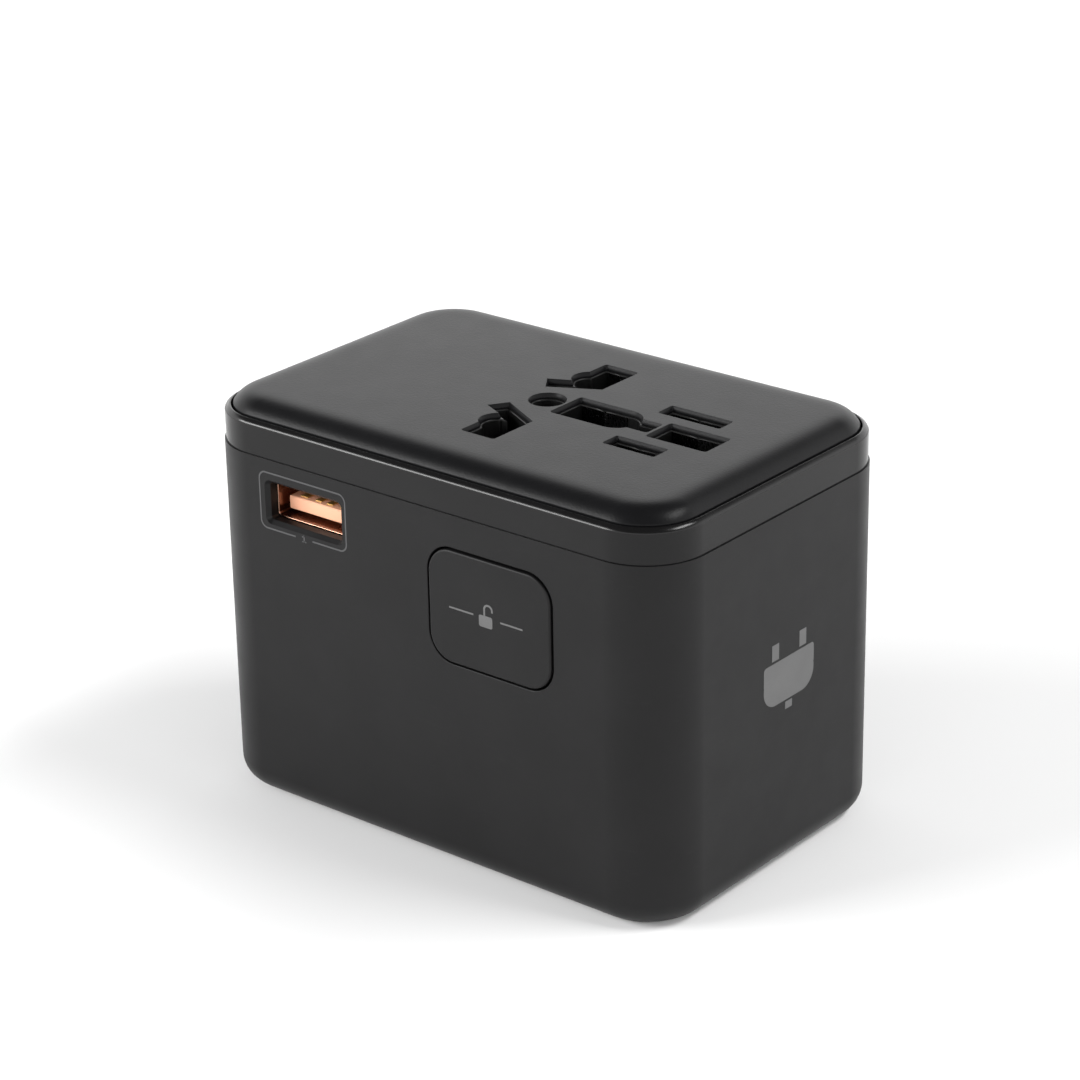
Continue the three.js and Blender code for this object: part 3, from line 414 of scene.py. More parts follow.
SATIN = finish("satin_black_plastic", (0.0066, 0.0064, 0.0067, 1), 0.42, specular=0.23, grain=5.0,
               depth=0.0015, vary=0.03, worn=0.2, ripple=0.02)
BUTTON_SATIN = finish("button_black_plastic", (0.0066, 0.0064, 0.0067, 1), 0.45, specular=0.23, grain=5.0,
                      depth=0.0015, vary=0.03, worn=0.1)
GLOSS = finish("gloss_black_plastic", (0.007, 0.0068, 0.007, 1), 0.2, specular=0.25, grain=4.0,
               depth=0.0006, vary=0.03, ripple=0.01)
MATTE = finish("fine_grain_black_plastic", (0.007, 0.007, 0.0076, 1), 0.33, specular=0.1, grain=3.5,
               depth=0.016, vary=0.012, worn=0.1)
INNER = finish("inner_black_plastic", (0.004, 0.004, 0.004, 1), 0.36, specular=0.4, grain=3.0, depth=0.003)
SHUTTER = finish("shutter_black_plastic", (0.008, 0.008, 0.0085, 1), 0.42, grain=3.0, depth=0.003)
NYLON = finish("grey_nylon", (0.042, 0.043, 0.045, 1), 0.5, grain=3.0, depth=0.004, worn=0.2)
PRINT = finish("grey_ink", (0.105, 0.105, 0.105, 1), 0.6, grain=9.0, depth=0.004, fade=0.12)
FRAME_INK = finish("dark_grey_ink", (0.055, 0.055, 0.057, 1), 0.55, grain=9.0, depth=0.004, fade=0.12)
NICKEL = finish("nickel_plate", (0.62, 0.6, 0.56, 1), 0.2, 1.0, grain=1.5, depth=0.001, fade=0.1,
                stretch=(1, 1, 0.06), worn=0.3)
BRASS = finish("brass_strip", (0.58, 0.4, 0.14, 1), 0.3, 1.0, grain=1.5, depth=0.002, stretch=(0.08, 1, 1))
STEEL = finish("plated_steel", (0.46, 0.46, 0.47, 1), 0.3, 1.0, grain=2.0, depth=0.0015, fade=0.15)
WIRE = finish("spring_wire", (0.4, 0.4, 0.41, 1), 0.28, 1.0, grain=2.0, depth=0.001, fade=0.15)
# Port steel tinted orange as a painted reflection of the orange insert, and darkened so the bright line on
# the shell's lip stays dim.
PORT_METAL_PAINTED_REFLECTION = finish("port_steel", (0.36, 0.2, 0.14, 1), 0.24, 1.0, grain=1.5, depth=0.001, fade=0.12)
ORANGE = finish("orange_plastic", (1.0, 0.52, 0.33, 1), 0.38, grain=3.0, depth=0.002, fade=0.1)
GOLD = finish("gold_contact", (0.85, 0.6, 0.22, 1), 0.45, 1.0, grain=2.0, depth=0.001, fade=0.1)
BOARD = finish("green_solder_mask", (0.01, 0.09, 0.03, 1), 0.35, grain=1.2, depth=0.004, fade=0.35, coat=0.3)
FERRITE = finish("ferrite", (0.02, 0.02, 0.022, 1), 0.62, grain=2.5, depth=0.02, fade=0.3, vary=0.12)
TAPE = finish("yellow_tape", (0.62, 0.42, 0.03, 1), 0.4, grain=1.0, depth=0.01, stretch=(0.2, 0.2, 2))
SLEEVE = finish("capacitor_sleeve", (0.012, 0.016, 0.028, 1), 0.32, grain=1.0, depth=0.004)
ALUMINIUM = finish("extruded_aluminium", (0.6, 0.61, 0.62, 1), 0.34, 1.0, grain=2.0, depth=0.003,
                   stretch=(1, 1, 0.05))


def glass(name):
    material = bpy.data.materials.new(name)
    material.use_nodes = True
    tree = material.node_tree
    shader = tree.nodes["Principled BSDF"]
    shader.inputs["Base Color"].default_value = (0.9, 0.96, 0.96, 1)
    shader.inputs["Transmission Weight"].default_value = 0.9
    place = tree.nodes.new("ShaderNodeTexCoord").outputs["Object"]
    streaks = noise(tree, place, 0.6, 3.0, (1, 0.2, 1))
    tree.links.new(spread(tree, streaks, 0.3, 0.7, 0.03, 0.12), shader.inputs["Roughness"])
    return material


GLASS = glass("fuse_glass")

CAD_FINISHES = {
    INNER: ["contact_carrier", "contact_base", "end_usb_c_tongue"],
    SHUTTER: ["safety_shutter"],
    NYLON: ["lock_plate", "eu_carriage", "uk_carriage", "us_carriage"],
    BRASS: [
        "earth_contact", "live_contact", "neutral_contact",
        "eu_live_rail", "us_live_rail", "eu_neutral_rail", "us_neutral_rail",
    ],
    BOARD: ["charger_board", "mains_board"],
    FERRITE: ["transformer_core"],
    TAPE: ["transformer_winding"],
    SLEEVE: ["smoothing_capacitor"],
    ALUMINIUM: ["heat_sink"],
    GLASS: ["fuse_glass"],
    STEEL: ["fuse_cap_front", "fuse_cap_rear", "fuse_clip_front", "fuse_clip_rear"],
}


def paint(piece, material):
    piece.data.materials.clear()
    piece.data.materials.append(material)


for material, nodes in CAD_FINISHES.items():
    for node in nodes:
        paint(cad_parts[node], material)


def add(piece, body, material, replaces=()):
    """Finishes a piece, lets it ride on its body and stand for its CAD nodes."""
    paint(piece, material)
    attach(piece, body)
    if replaces:
        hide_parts(*replaces)
    return piece


# ---------------------------------------------------------------- socket openings

SIDES = (1, -1)  # neutral, live
MAINS_SLOT = {"x0": -1.1, "x1": 4.2, "y0": 7.25, "y1": 15.0}
ROUND_SLOT = {"x": 0.35, "y": 9.6, "r": 2.4}
SLANT_ARM = [(4.2, 7.25), (-2.4, 3.8), (-4.0, 6.1), (-0.1, 7.9), (4.2, 9.0)]
SMALL_EARTH = {"x": 0.9, "r": 2.45}
LARGE_EARTH = {"x0": 3.95, "x1": 12.5, "r": 3.2, "tail_x": 18.4, "tail_half": 1.65}
RECT_EARTH = {"x0": 19.1, "x1": 28.4, "half": 2.65}
BLADE_SLOT = {"y0": 4.9, "y1": 7.8, "r": 0.2}
LONG_BLADE, SHORT_BLADE = (15.4, 25.0), (16.2, 24.2)  # the neutral slot is the wider one


def socket_outlines():
    mains, pin, blade, large, rect = MAINS_SLOT, ROUND_SLOT, BLADE_SLOT, LARGE_EARTH, RECT_EARTH
    outlines = [
        circle(SMALL_EARTH["x"], 0, SMALL_EARTH["r"]),
        rectangle(large["x0"], large["x1"], -large["r"], large["r"]),
        circle(large["x1"], 0, large["r"]),
        rectangle(large["x1"], large["tail_x"], -large["tail_half"], large["tail_half"]),
        rectangle(rect["x0"], rect["x1"], -rect["half"], rect["half"]),
    ]
    for side in SIDES:
        low, high = sorted((side * mains["y0"], side * mains["y1"]))
        outlines.append(rectangle(mains["x0"], mains["x1"], low, high))
        outlines.append(circle(pin["x"], side * pin["y"], pin["r"]))
        outlines.append([(x, side * y) for x, y in SLANT_ARM])
        low, high = sorted((side * blade["y0"], side * blade["y1"]))
        ends = LONG_BLADE if side > 0 else SHORT_BLADE
        outlines.append(rectangle(*ends, low, high, blade["r"]))
    return outlines


def socket_cutters(z0, top, curve):
    """Cutters for the whole socket; the lip is [offset, depth] down from the top surface."""
    inner, outer = curve[0][0], curve[-1][0]
    levels = [(inner, z0), *((out, top - deep) for out, deep in curve), (outer, top + THROUGH)]
    return [column("cutter", outline, levels) for outline in socket_outlines()]


PANEL_LIP = [(-0.12, 0.5), (-0.02, 0.32), (0.06, 0.1), (0.1, 0.03), (0.16, 0.0)]
GUIDE_LIP = [(-0.4, 0.2), (-0.36, 0.06), (-0.28, 0.0)]


# ---------------------------------------------------------------- socket panel and guide


def crown_levels():
    """[inset, z] from the panel's upright edge, round it, over the crown, to the flat middle."""
    steps = 36
    r, slope = PANEL["edge_r"], PANEL["edge_slope"]
    turn = [(r - x, y) for x, y in arc(0, 0, r, 0, 90 - slope, 8)]
    start_inset = PANEL["inset"] + turn[-1][0]
    width, height = PANEL["top_inset"] - start_inset, TOP_Z - PANEL["edge_z"]
    power = math.tan(math.radians(slope)) * width / height
    points = [(PANEL["inset"] + x, PANEL["edge_z"] - turn[-1][1] + y) for x, y in turn]
    for step in range(1, steps + 1):
        t = (step / steps) ** 1.4
        points.append((start_inset + width * t, PANEL["edge_z"] + height * (1 - (1 - t) ** power)))
    return points


def socket_panel():
    z0 = LEDGE["z"] + GAP
    panel = loft("panel_top", [plan(inset, z) for inset, z in [(PANEL["inset"], z0), *crown_levels()]])
    hollow = loft("cutter", [plan(PANEL["hollow_inset"], z) for z in (z0 - THROUGH, PANEL["under_z"])])
    cut(panel, hollow)
    return shaded(cut(panel, *socket_cutters(PANEL["under_z"] - THROUGH, TOP_Z, PANEL_LIP)))


def socket_guide():
    g = GUIDE
    guide = block("guide_block", g["x0"], g["x1"], -g["half_y"], g["half_y"], g["z0"], g["z1"])
    s = SHUTTER_STOP
    arm = block("arm", s["x"], g["x0"] + THROUGH, -s["half_y"], s["half_y"], g["z0"], s["top"])
    stop = block("stop", s["x"], s["x"] + s["thickness"], -s["half_y"], s["half_y"], s["low"], s["top"])
    join(guide, arm, stop)
    cut(guide, *socket_cutters(g["z0"] - THROUGH, g["z1"], GUIDE_LIP))
    return shaded(guide)


add(socket_panel(), "housing", MATTE, ["socket_panel"])
add(socket_guide(), "housing", INNER, ["socket_guide"])

# ---------------------------------------------------------------- bezel band


def bezel_band():
    z0 = PARTING_Z + 0.01
    b = BAND
    skirt = WALL + GAP
    profile = [
        (skirt, z0), (b["inset"] + 0.03, z0), (b["inset"] + 0.01, z0 + 0.01), (b["inset"], z0 + 0.03),
        (b["inset"], b["lip_z"] - b["face_top"]),
        *((inset, b["lip_z"] - deep) for inset, deep in reversed(b["bevel"])),
        (b["mouth_inset"] - 0.05, b["lip_z"]), (b["mouth_inset"], b["lip_z"] - 0.05),
        (b["mouth_inset"], LEDGE["z"]), (LEDGE["inset"], LEDGE["z"]), (LEDGE["inset"], LEDGE["skirt_z"]),
        (skirt, LEDGE["skirt_z"]),
    ]
    return shaded(loft("bezel", [plan(inset, z) for inset, z in profile], closed=True), 50)


add(bezel_band(), "housing", GLOSS, ["bezel_band"])

# ---------------------------------------------------------------- main housing

BOSS = {"x": 30.0, "y": 16.8, "r": 2.6, "top": 14.0, "rib": 1.2, "hole": 1.3}
CORNERS = [(1, 1), (-1, 1), (-1, -1), (1, -1)]
KNOB_SLOTS = {"eu_knob": -14.0, "uk_knob": 1.55, "us_knob": 17.0}
SLOT_HALF = 1.9  # half the width of a knob's slot
KNOB_LOW_Z = 5.4  # a knob's middle when its pins are right out


def shell_profile():
    """[inset, z] round the shell's section, from the base opening out, up and back down inside."""
    fillet = [
        (BASE_FILLET - x, BASE_FILLET + y) for x, y in arc(0, 0, BASE_FILLET, -90, 0, 12)
    ]
    edge = 0.02
    rim = [(edge - x, PARTING_Z - edge + y) for x, y in arc(0, 0, edge, 0, 90, 3)]
    inner = [(WALL, PARTING_Z), (WALL, FLOOR), (PLATE_INSET, FLOOR), (PLATE_INSET, 0.0)]
    return fillet + rim + inner


def hole_levels(depth, rounding):
    """Levels of a cutter drawn out of a face, with a small round lip."""
    curve = [
        (rounding * (1 - math.cos(a)), -rounding * (1 - math.sin(a)))
        for a in (math.radians(d) for d in (0, 30, 60, 90))
    ]
    return [(0, -depth), *curve, (curve[-1][0], THROUGH)]


def button_hole():
    outline = rounded(BUTTON["width"], BUTTON["height"], BUTTON["r"])
    hole = column("cutter", outline, hole_levels(WALL + THROUGH, LIP_R))
    return on_face(hole, "front", BUTTON["x"], BUTTON["z"])


def port_mouth(port, height, bevel, pocket):
    """A port's opening: a bevel at the face, a throat, and a pocket for the metal shell."""
    throat = rounded(port["width"] - 0.5, height, port["r"] - 0.1, 8)
    flare, deep = bevel
    mouth = column("cutter", throat, [
        (0, -WALL - THROUGH), (0, -deep), (flare - 0.05, -0.05), (flare, 0.03), (flare + 0.2, THROUGH),
    ])
    room = rounded(port["width"] + 2 * GAP, port["height"] + 2 * GAP, port["r"], 8)
    pocket_cut = column("cutter", room, [(0, -WALL - THROUGH), (0, -pocket)])
    return mouth, pocket_cut


# Port, throat height, (bevel's width, depth), and where it is on which face
PORTS = [
    (USB_A, 5.25, (0.5, 0.6), "front", FRONT_PORT_X, PORT_Z),
    (USB_A, 5.25, (0.5, 0.6), "left", END_PORT_Y, PORT_Z),
    (USB_C, 2.9, (0.4, 0.5), "left", END_USB_C_Y, END_USB_C_Z),
]


def knob_slots():
    slots = []
    for node, x in KNOB_SLOTS.items():
        low, high = box_mm(node)
        top = (low.z + high.z) / 2 + SLOT_HALF
        bottom = KNOB_LOW_Z - SLOT_HALF
        outline = rounded(2 * SLOT_HALF, top - bottom, 0.6, 6)
        slot = column("cutter", outline, hole_levels(WALL + THROUGH, LIP_R))
        slots.append(on_face(slot, "back", x, (top + bottom) / 2))
    return slots


def boss_with_ribs(sx, sy):
    b = BOSS
    x, y = sx * b["x"], sy * b["y"]
    z0 = FLOOR - 0.5
    half = b["rib"] / 2
    xs = sorted((x, sx * (HALF_LENGTH - WALL / 2)))
    ys = sorted((y, sy * (HALF_DEPTH - WALL / 2)))
    return [
        column("boss", circle(x, y, b["r"], 32), [(0, z0), (0, b["top"])]),
        block("rib", *xs, y - half, y + half, z0, b["top"]),
        block("rib", x - half, x + half, *ys, z0, b["top"]),
    ]


def main_housing():
    shell = loft("shell", [plan(inset, z) for inset, z in shell_profile()], closed=True)
    join(shell, *[solid for corner in CORNERS for solid in boss_with_ribs(*corner)])
    tools = [button_hole(), *knob_slots()]
    for port, height, bevel, face, u, v in PORTS:
        tools += [on_face(tool, face, u, v) for tool in port_mouth(port, height, bevel, POCKET_DEPTH)]
    for sx, sy in CORNERS:
        hole = circle(sx * BOSS["x"], sy * BOSS["y"], BOSS["hole"], 24)
        tools.append(column("cutter", hole, [(0, -THROUGH), (0, BOSS["top"] - 2)]))
    return shaded(cut(shell, *tools))


add(main_housing(), "housing", SATIN, ["main_housing"])

# ---------------------------------------------------------------- unlock button


def unlock_button():
    width = BUTTON["width"] - 2 * GAP
    height = BUTTON["height"] - 2 * GAP
    r = BUTTON["r"] - GAP
    edge = 0.3
    proud = BUTTON["proud"]
    curve = [(-(edge - x), proud - edge + y) for x, y in arc(0, 0, edge, 0, 90, 5)]
    flange_width, flange_z = 1.8, -WALL - GAP
    cap = column("button_cap", rounded(width, height, r), [(0, flange_z - 0.5), *curve])
    around = rounded(width + 2 * flange_width, height + 2 * flange_width, r + flange_width)
    flange = column("flange", around, [(0, flange_z - 1.0), (0, flange_z)])
    return on_face(shaded(join(cap, flange)), "front", BUTTON["x"], BUTTON["z"])


add(unlock_button(), "unlock_button", BUTTON_SATIN, ["unlock_button"])

# ---------------------------------------------------------------- charger ports


def port_shell(name, port, height, depth, recess):
    sheet = 0.2
    outer = rounded(port["width"], height, port["r"], 8)
    shell = column(name, outer, [
        (0, -recess - depth), (0, -recess - 0.1), (-0.03, -recess - 0.03), (-0.1, -recess),
    ])
    inside = rounded(port["width"] - 2 * sheet, height - 2 * sheet, port["r"] - sheet, 8)
    return shaded(cut(shell, column("cutter", inside, [
        (0, -recess - depth + 0.5), (0, -recess - 0.16), (0.04, -recess - 0.06), (0.14, -recess),
        (0.14, THROUGH),
    ])), 40)


TONGUE = {"half_width": 5.65, "low": -1.85, "back": 12.2, "front": 1.3, "chamfer": 0.12, "r": 0.2}


def usb_a_tongue(name, recess):
    t = TONGUE
    return shaded(column(name, rectangle(-t["half_width"], t["half_width"], t["low"], 0.0, t["r"], 4), [
        (0, -recess - t["back"]),
        (0, -recess - t["front"] - t["chamfer"]),
        (-t["chamfer"], -recess - t["front"]),
    ]))


def tongue_contacts(name, recess):
    """The four contact strips on the tongue."""
    return gather(name, [
        block("strip", x - w / 2, x + w / 2, -0.01, 0.15, -recess - 9, -recess - 1.9)
        for x, w in ((-3.5, 1.2), (-1.0, 1.0), (1.0, 1.0), (3.5, 1.2))
    ])


RECESS = 2.1
for name, face, u in (("front_usb_a", "front", FRONT_PORT_X), ("end_usb_a", "left", END_PORT_Y)):
    shell = on_face(port_shell(f"{name}_can", USB_A, 5.3, 13.0, RECESS), face, u, PORT_Z)
    add(shell, "housing", PORT_METAL_PAINTED_REFLECTION, [f"{name}_shell"])
    tongue = on_face(usb_a_tongue(f"{name}_insert", RECESS), face, u, PORT_Z)
    add(tongue, "housing", ORANGE, [f"{name}_tongue"])
    contacts = on_face(tongue_contacts(f"{name}_contacts", RECESS), face, u, PORT_Z)
    add(contacts, "housing", GOLD)
usb_c = on_face(port_shell("end_usb_c_can", USB_C, 3.2, 7.4, RECESS), "left", END_USB_C_Y, END_USB_C_Z)
add(usb_c, "housing", PORT_METAL_PAINTED_REFLECTION, ["end_usb_c_shell"])

# ---------------------------------------------------------------- base plate, screws and knobs


def plug_plate():
    edge = PLATE_INSET + GAP
    plate = loft("base_plate", [plan(edge + 0.1, 0), plan(edge, 0.1), plan(edge, FLOOR)])
    flare = [(0.25, -THROUGH), (0.25, 0.0), (0, 0.25), (0, FLOOR + THROUGH)]
    thick, across, earth = (UK_PIN[key] / 2 + GAP for key in ("thick", "across", "earth_across"))
    uk_x, earth_x = UK_PIN["x"], UK_PIN["earth_x"]
    outlines = [rectangle(earth_x - earth, earth_x + earth, -thick, thick)]
    for side in SIDES:
        uk_y = side * UK_PIN["y"]
        outlines.append(circle(EU_PIN["x"], side * EU_PIN["y"], EU_PIN["r"] + GAP))
        outlines.append(rectangle(uk_x - thick, uk_x + thick, uk_y - across, uk_y + across))
        outlines.append(circle(US_PIN["x"], side * US_PIN["y"], US_PIN["disc_r"] + GAP))
    tools = [column("cutter", outline, flare) for outline in outlines]
    for sx, sy in CORNERS:
        x, y = sx * BOSS["x"], sy * BOSS["y"]
        tools.append(column("cutter", circle(x, y, 2.2), [(0.15, -THROUGH), (0.15, 0), (0, 0.15), (0, 1.25)]))
        tools.append(column("cutter", circle(x, y, BOSS["hole"]), [(0, -THROUGH), (0, FLOOR + THROUGH)]))
    return shaded(cut(plate, *tools))


add(plug_plate(), "housing", SATIN, ["plug_plate"])


def screw(name, head_r, head_h, shaft_r, length):
    """A cross-head screw with its head's face at z = 0 and a ridged shaft."""
    profile = [(head_r - 0.15, 0), (head_r, 0.12), (head_r, head_h), (shaft_r, head_h + 0.2)]
    pitch = 0.7
    z = head_h + 0.6
    while z < length - 1.0:
        profile += [(shaft_r, z), (shaft_r + 0.18, z + pitch * 0.35), (shaft_r, z + pitch * 0.7)]
        z += pitch
    profile += [(shaft_r, length - 0.8), (shaft_r * 0.4, length)]
    piece = turned(name, profile, 32)
    arm, half, deep = head_r * 0.62, head_r * 0.13, head_h * 0.7
    blades = [
        column("cutter", rectangle(-x, x, -y, y, 0.05, 2), [(0.08, -THROUGH), (0.08, 0), (-0.04, deep)])
        for x, y in ((arm, half), (half, arm))
    ]
    return shaded(cut(piece, *blades))


PLATE_SCREW = {"head_r": 1.9, "head_h": 0.75, "shaft_r": 1.0, "length": 9.5}
CORE_SCREW = {"head_r": 1.3, "head_h": 0.7, "shaft_r": 0.7, "length": 19.5}

for node in ("plate_screw_1", "plate_screw_2", "plate_screw_3", "plate_screw_4"):
    low, high, x, y = node_place(node)
    add(at(screw(f"{node}_turned", **PLATE_SCREW), x, y, low.z), "housing", STEEL, [node])
for node in ("core_screw_1", "core_screw_2"):
    low, high, x, y = node_place(node)
    piece = placed(screw(f"{node}_turned", **CORE_SCREW), Matrix.Rotation(math.pi, 4, "X"))
    add(at(piece, x, y, high.z), "housing", STEEL, [node])


def knob(name):
    """A slider knob seen from behind: a stem, a rounded pad and three grip ridges."""
    proud = 1.4
    width, height = 6.4, 4.6
    edge = 0.4
    curve = [(-(edge - x), proud - 0.3 - edge + y) for x, y in arc(0, 0, edge, 0, 90, 5)]
    pad = column(name, rounded(width, height, 1.0, 10), [(-0.1, 0.25), (0, 0.35), *curve])
    stem = block("stem", -1.5, 1.5, -1.5, 1.5, -4.1, 0.6)
    ridges = []
    for z in (-1.1, 0, 1.1):
        bar = rectangle(-2.2, 2.2, z - 0.26, z + 0.26, 0.24, 5)
        levels = [(0, 0.7), (0, proud - 0.14), (-0.06, proud - 0.04), (-0.15, proud)]
        ridges.append(column("ridge", bar, levels))
    return shaded(join(pad, stem, *ridges))


for node, slider in (("eu_knob", "eu_slider"), ("uk_knob", "uk_slider"), ("us_knob", "us_slider")):
    low, high = box_mm(node)
    piece = on_face(knob(f"{node}_grip"), "back", KNOB_SLOTS[node], (low.z + high.z) / 2)
    add(piece, slider, SATIN, [node])

# ---------------------------------------------------------------- plug pins

PIN_ROOT = 4.0  # how far a pin reaches up into its carriage
SLEEVE_LENGTH = 9.0  # the insulated part of a mains pin, below its carriage
SLEEVE_TOP = 4.2  # from a pin's top down to its sleeve


def round_pin(name, low, high, radius):
    """A round pin: domed tip, bare metal, and a neck under its insulating sleeve."""
    dome = [(max(0.05, radius * math.sin(a)), low + 1.6 * (1 - math.cos(a)))
            for a in (math.radians(d) for d in range(5, 91, 12))]
    neck = high - SLEEVE_LENGTH - PIN_ROOT
    return turned(name, [*dome, (radius, neck), (radius - 0.3, neck), (radius - 0.3, high)])


def bar_pin(name, width, depth, low, high, neck=None):
    """A flat-sided pin with a chamfered tip; above neck it is thinner, to take a sleeve."""
    levels = [(0.9, low), (0.75, low + 0.1), (0, low + 1.3)]
    levels += [(0, high)] if neck is None else [(0, neck), (0.3, neck), (0.3, high)]
    return loft(name, [
        level(rounded(width - 2 * inset, depth - 2 * inset, BAR_R - inset, 5), z) for inset, z in levels
    ])


def sleeve(name, outline, low, high):
    """An insulating sleeve round a pin's neck, flush with the bare metal."""
    tube = column(name, outline, [(-0.04, low + 0.02), (0, low + 0.06), (0, high)])
    return shaded(cut(tube, column("cutter", outline, [(-0.28, low - THROUGH), (-0.28, high + THROUGH)])))


for pole in ("live", "neutral"):
    low, high, x, y = node_place(f"eu_{pole}_pin")
    pin = at(shaded(round_pin(f"eu_{pole}_pin_turned", low.z, high.z, EU_PIN["r"])), x, y, 0)
    add(pin, "eu_slider", NICKEL, [f"eu_{pole}_pin"])
    neck = high.z - SLEEVE_LENGTH - PIN_ROOT
    tube = at(sleeve(f"eu_{pole}_pin_sleeve", circle(0, 0, EU_PIN["r"]), neck, high.z - SLEEVE_TOP), x, y, 0)
    add(tube, "eu_slider", INNER)

    low, high, x, y = node_place(f"uk_{pole}_pin")
    neck = high.z - SLEEVE_LENGTH - PIN_ROOT
    width, depth = UK_PIN["thick"], UK_PIN["across"]
    pin = at(shaded(bar_pin(f"uk_{pole}_pin_bar", width, depth, low.z, high.z, neck)), x, y, 0)
    add(pin, "uk_slider", NICKEL, [f"uk_{pole}_pin"])
    outline = rounded(width, depth, BAR_R, 5)
    tube = at(sleeve(f"uk_{pole}_pin_sleeve", outline, neck, high.z - SLEEVE_TOP), x, y, 0)
    add(tube, "uk_slider", INNER)

low, high, x, y = node_place("uk_earth_pin")
width, depth = UK_PIN["earth_across"], UK_PIN["thick"]
pin = at(shaded(bar_pin("uk_earth_pin_bar", width, depth, low.z, high.z)), x, y, 0)
add(pin, "uk_slider", NICKEL, ["uk_earth_pin"])


def flat_blade(name, low, high):
    """A flat blade with a chamfered tip, rounded long edges and a hole near the tip."""
    half, chamfer = US_PIN["width"] / 2, 1.0
    thick = US_PIN["thick"]
    outline = [
        (-half + chamfer, low), (half - chamfer, low), (half, low + 1.6), (half, high),
        (-half, high), (-half, low + 1.6),
    ]
    edge = 0.25
    blade = column(name, outline, [
        (-edge, -thick / 2), (0, -thick / 2 + edge), (0, thick / 2 - edge), (-edge, thick / 2),
    ])
    hole = [(0.2, -thick), (0.2, -thick / 2), (0, -thick / 2 + 0.2), (0, thick / 2 - 0.2),
            (0.2, thick / 2), (0.2, thick)]
    return shaded(cut(blade, column("cutter", circle(0, low + 4.0, 1.5, 40), hole)))


def blade_rotor(name, low, high):
    """A turning disc with a chamfered rim, a slot for its blade and a journal above."""
    disc, rim, journal = US_PIN["disc_r"], 0.2, 1.4
    top = low + 1.8
    piece = turned(name, [
        (disc - rim, low), (disc, low + rim), (disc, top - rim), (disc - rim, top), (journal, top),
        (journal, high - 0.2), (journal - 0.2, high),
    ])
    half_x, half_y = US_PIN["width"] / 2 + GAP, US_PIN["thick"] / 2 + GAP
    slot = rectangle(-half_x, half_x, -half_y, half_y, 0.2)
    levels = [(0.15, low - THROUGH), (0.15, low), (0, low + 0.15), (0, low + 1.1)]
    return shaded(cut(piece, column("cutter", slot, levels)))


for pole in ("live", "neutral"):
    body = f"us_{pole}_turner"
    low, high, x, y = node_place(f"us_{pole}_blade")
    blade = facing(flat_blade(f"us_{pole}_blade_sheet", 0, high.z - low.z), "front", x, y, low.z)
    add(blade, body, NICKEL, [f"us_{pole}_blade"])
    low, high, x, y = node_place(f"us_{pole}_rotor")
    rotor = at(blade_rotor(f"us_{pole}_rotor_turned", low.z, high.z), x, y, 0)
    add(rotor, body, NYLON, [f"us_{pole}_rotor"])

# ---------------------------------------------------------------- springs


def coil_spring(name, radius, wire, length, turns):
    """A coil spring along z from 0 to length, with a closed turn at each end."""
    sides, per_turn = 10, 28
    total = (turns + 2) * per_turn
    rings = []
    for i in range(total + 1):
        turn = i / per_turn
        if turn < 1:
            rise = turn * 2 * wire
        elif turn > turns + 1:
            rise = length - 2 * wire - (turns + 2 - turn) * 2 * wire
        else:
            rise = 2 * wire + (turn - 1) / turns * (length - 6 * wire)
        angle = 2 * math.pi * turn
        outward = Vector((math.cos(angle), math.sin(angle), 0))
        middle = outward * radius + Vector((0, 0, wire + rise))
        ring = [
            middle + wire * (math.cos(b) * outward + math.sin(b) * Vector((0, 0, 1)))
            for b in (2 * math.pi * k / sides for k in range(sides))
        ]
        rings.append(ring)
    return shaded(loft(name, rings), 60)


for index in (1, 2):
    node = f"button_spring_{index}"
    low, high = box_mm(node)
    spring = coil_spring(f"{node}_coil", 1.6, 0.2, high.y - low.y, 2)
    facing(spring, "front", (low.x + high.x) / 2, high.y, (low.z + high.z) / 2)
    add(spring, "housing", WIRE, [node])
    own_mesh(spring)

low, high = box_mm("shutter_spring")
spring = coil_spring("shutter_spring_coil", 0.8, 0.14, high.x - low.x, 7)
facing(spring, "right", low.x, (low.y + high.y) / 2, (low.z + high.z) / 2)
add(spring, "housing", WIRE, ["shutter_spring"])
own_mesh(spring)

# ---------------------------------------------------------------- printed marks

INK = 0.02  # ink stands this far off the plastic


def ink(name, outline):
    """A flat printed patch with a convex outline."""
    return column(name, outline, [(0, -0.05), (0, INK)])


def bar(x0, x1, y0, y1):
    return ink("bar", rectangle(x0, x1, y0, y1, 0.05, 3))


def ink_loop(name, width, height, r, line):
    """A printed line round a rounded rectangle, with the line's outer edge at the given size."""
    loop = ink(name, rounded(width, height, r))
    inside = rounded(width - 2 * line, height - 2 * line, r - line)
    return cut(loop, column("cutter", inside, [(0, -THROUGH), (0, THROUGH)]))


def port_print(name):
    """A thin frame round a port with the numeral 1 in a gap of its bottom line."""
    width, height = 15.3, 8.15
    frame_line = ink_loop("frame_line", width, height, 1.2, 0.22)
    cut(frame_line, block("cutter", -1.45, 1.55, -height, -height / 2 + 0.6, -THROUGH, THROUGH))
    y0 = -height / 2 - 0.4
    digit = [
        bar(-0.05, 0.17, y0, y0 + 1.1),
        ink("flag", [(-0.32, y0 + 0.8), (-0.24, y0 + 0.66), (0.16, y0 + 0.88), (0.16, y0 + 1.09)]),
        bar(-0.3, 0.42, y0, y0 + 0.18),
    ]
    return gather(name, [frame_line, *digit])


def unlock_print(name):
    """An open padlock between two thin bars."""
    lock = ink("lock_body", rounded(2.2, 1.6, 0.3))
    at(lock, 0, -0.5, 0)
    shackle = at(ink_loop("shackle", 1.55, 2.4, 0.75, 0.28), 0.45, 0.75, 0)
    cut(shackle, block("cutter", 0.5, 3, -2, 0.95, -THROUGH, THROUGH))
    cut(shackle, block("cutter", -3, 3, -2, 0.28, -THROUGH, THROUGH))
    return gather(name, [lock, shackle, bar(-6.0, -2.0, -0.12, 0.12), bar(2.4, 6.0, -0.12, 0.12)])


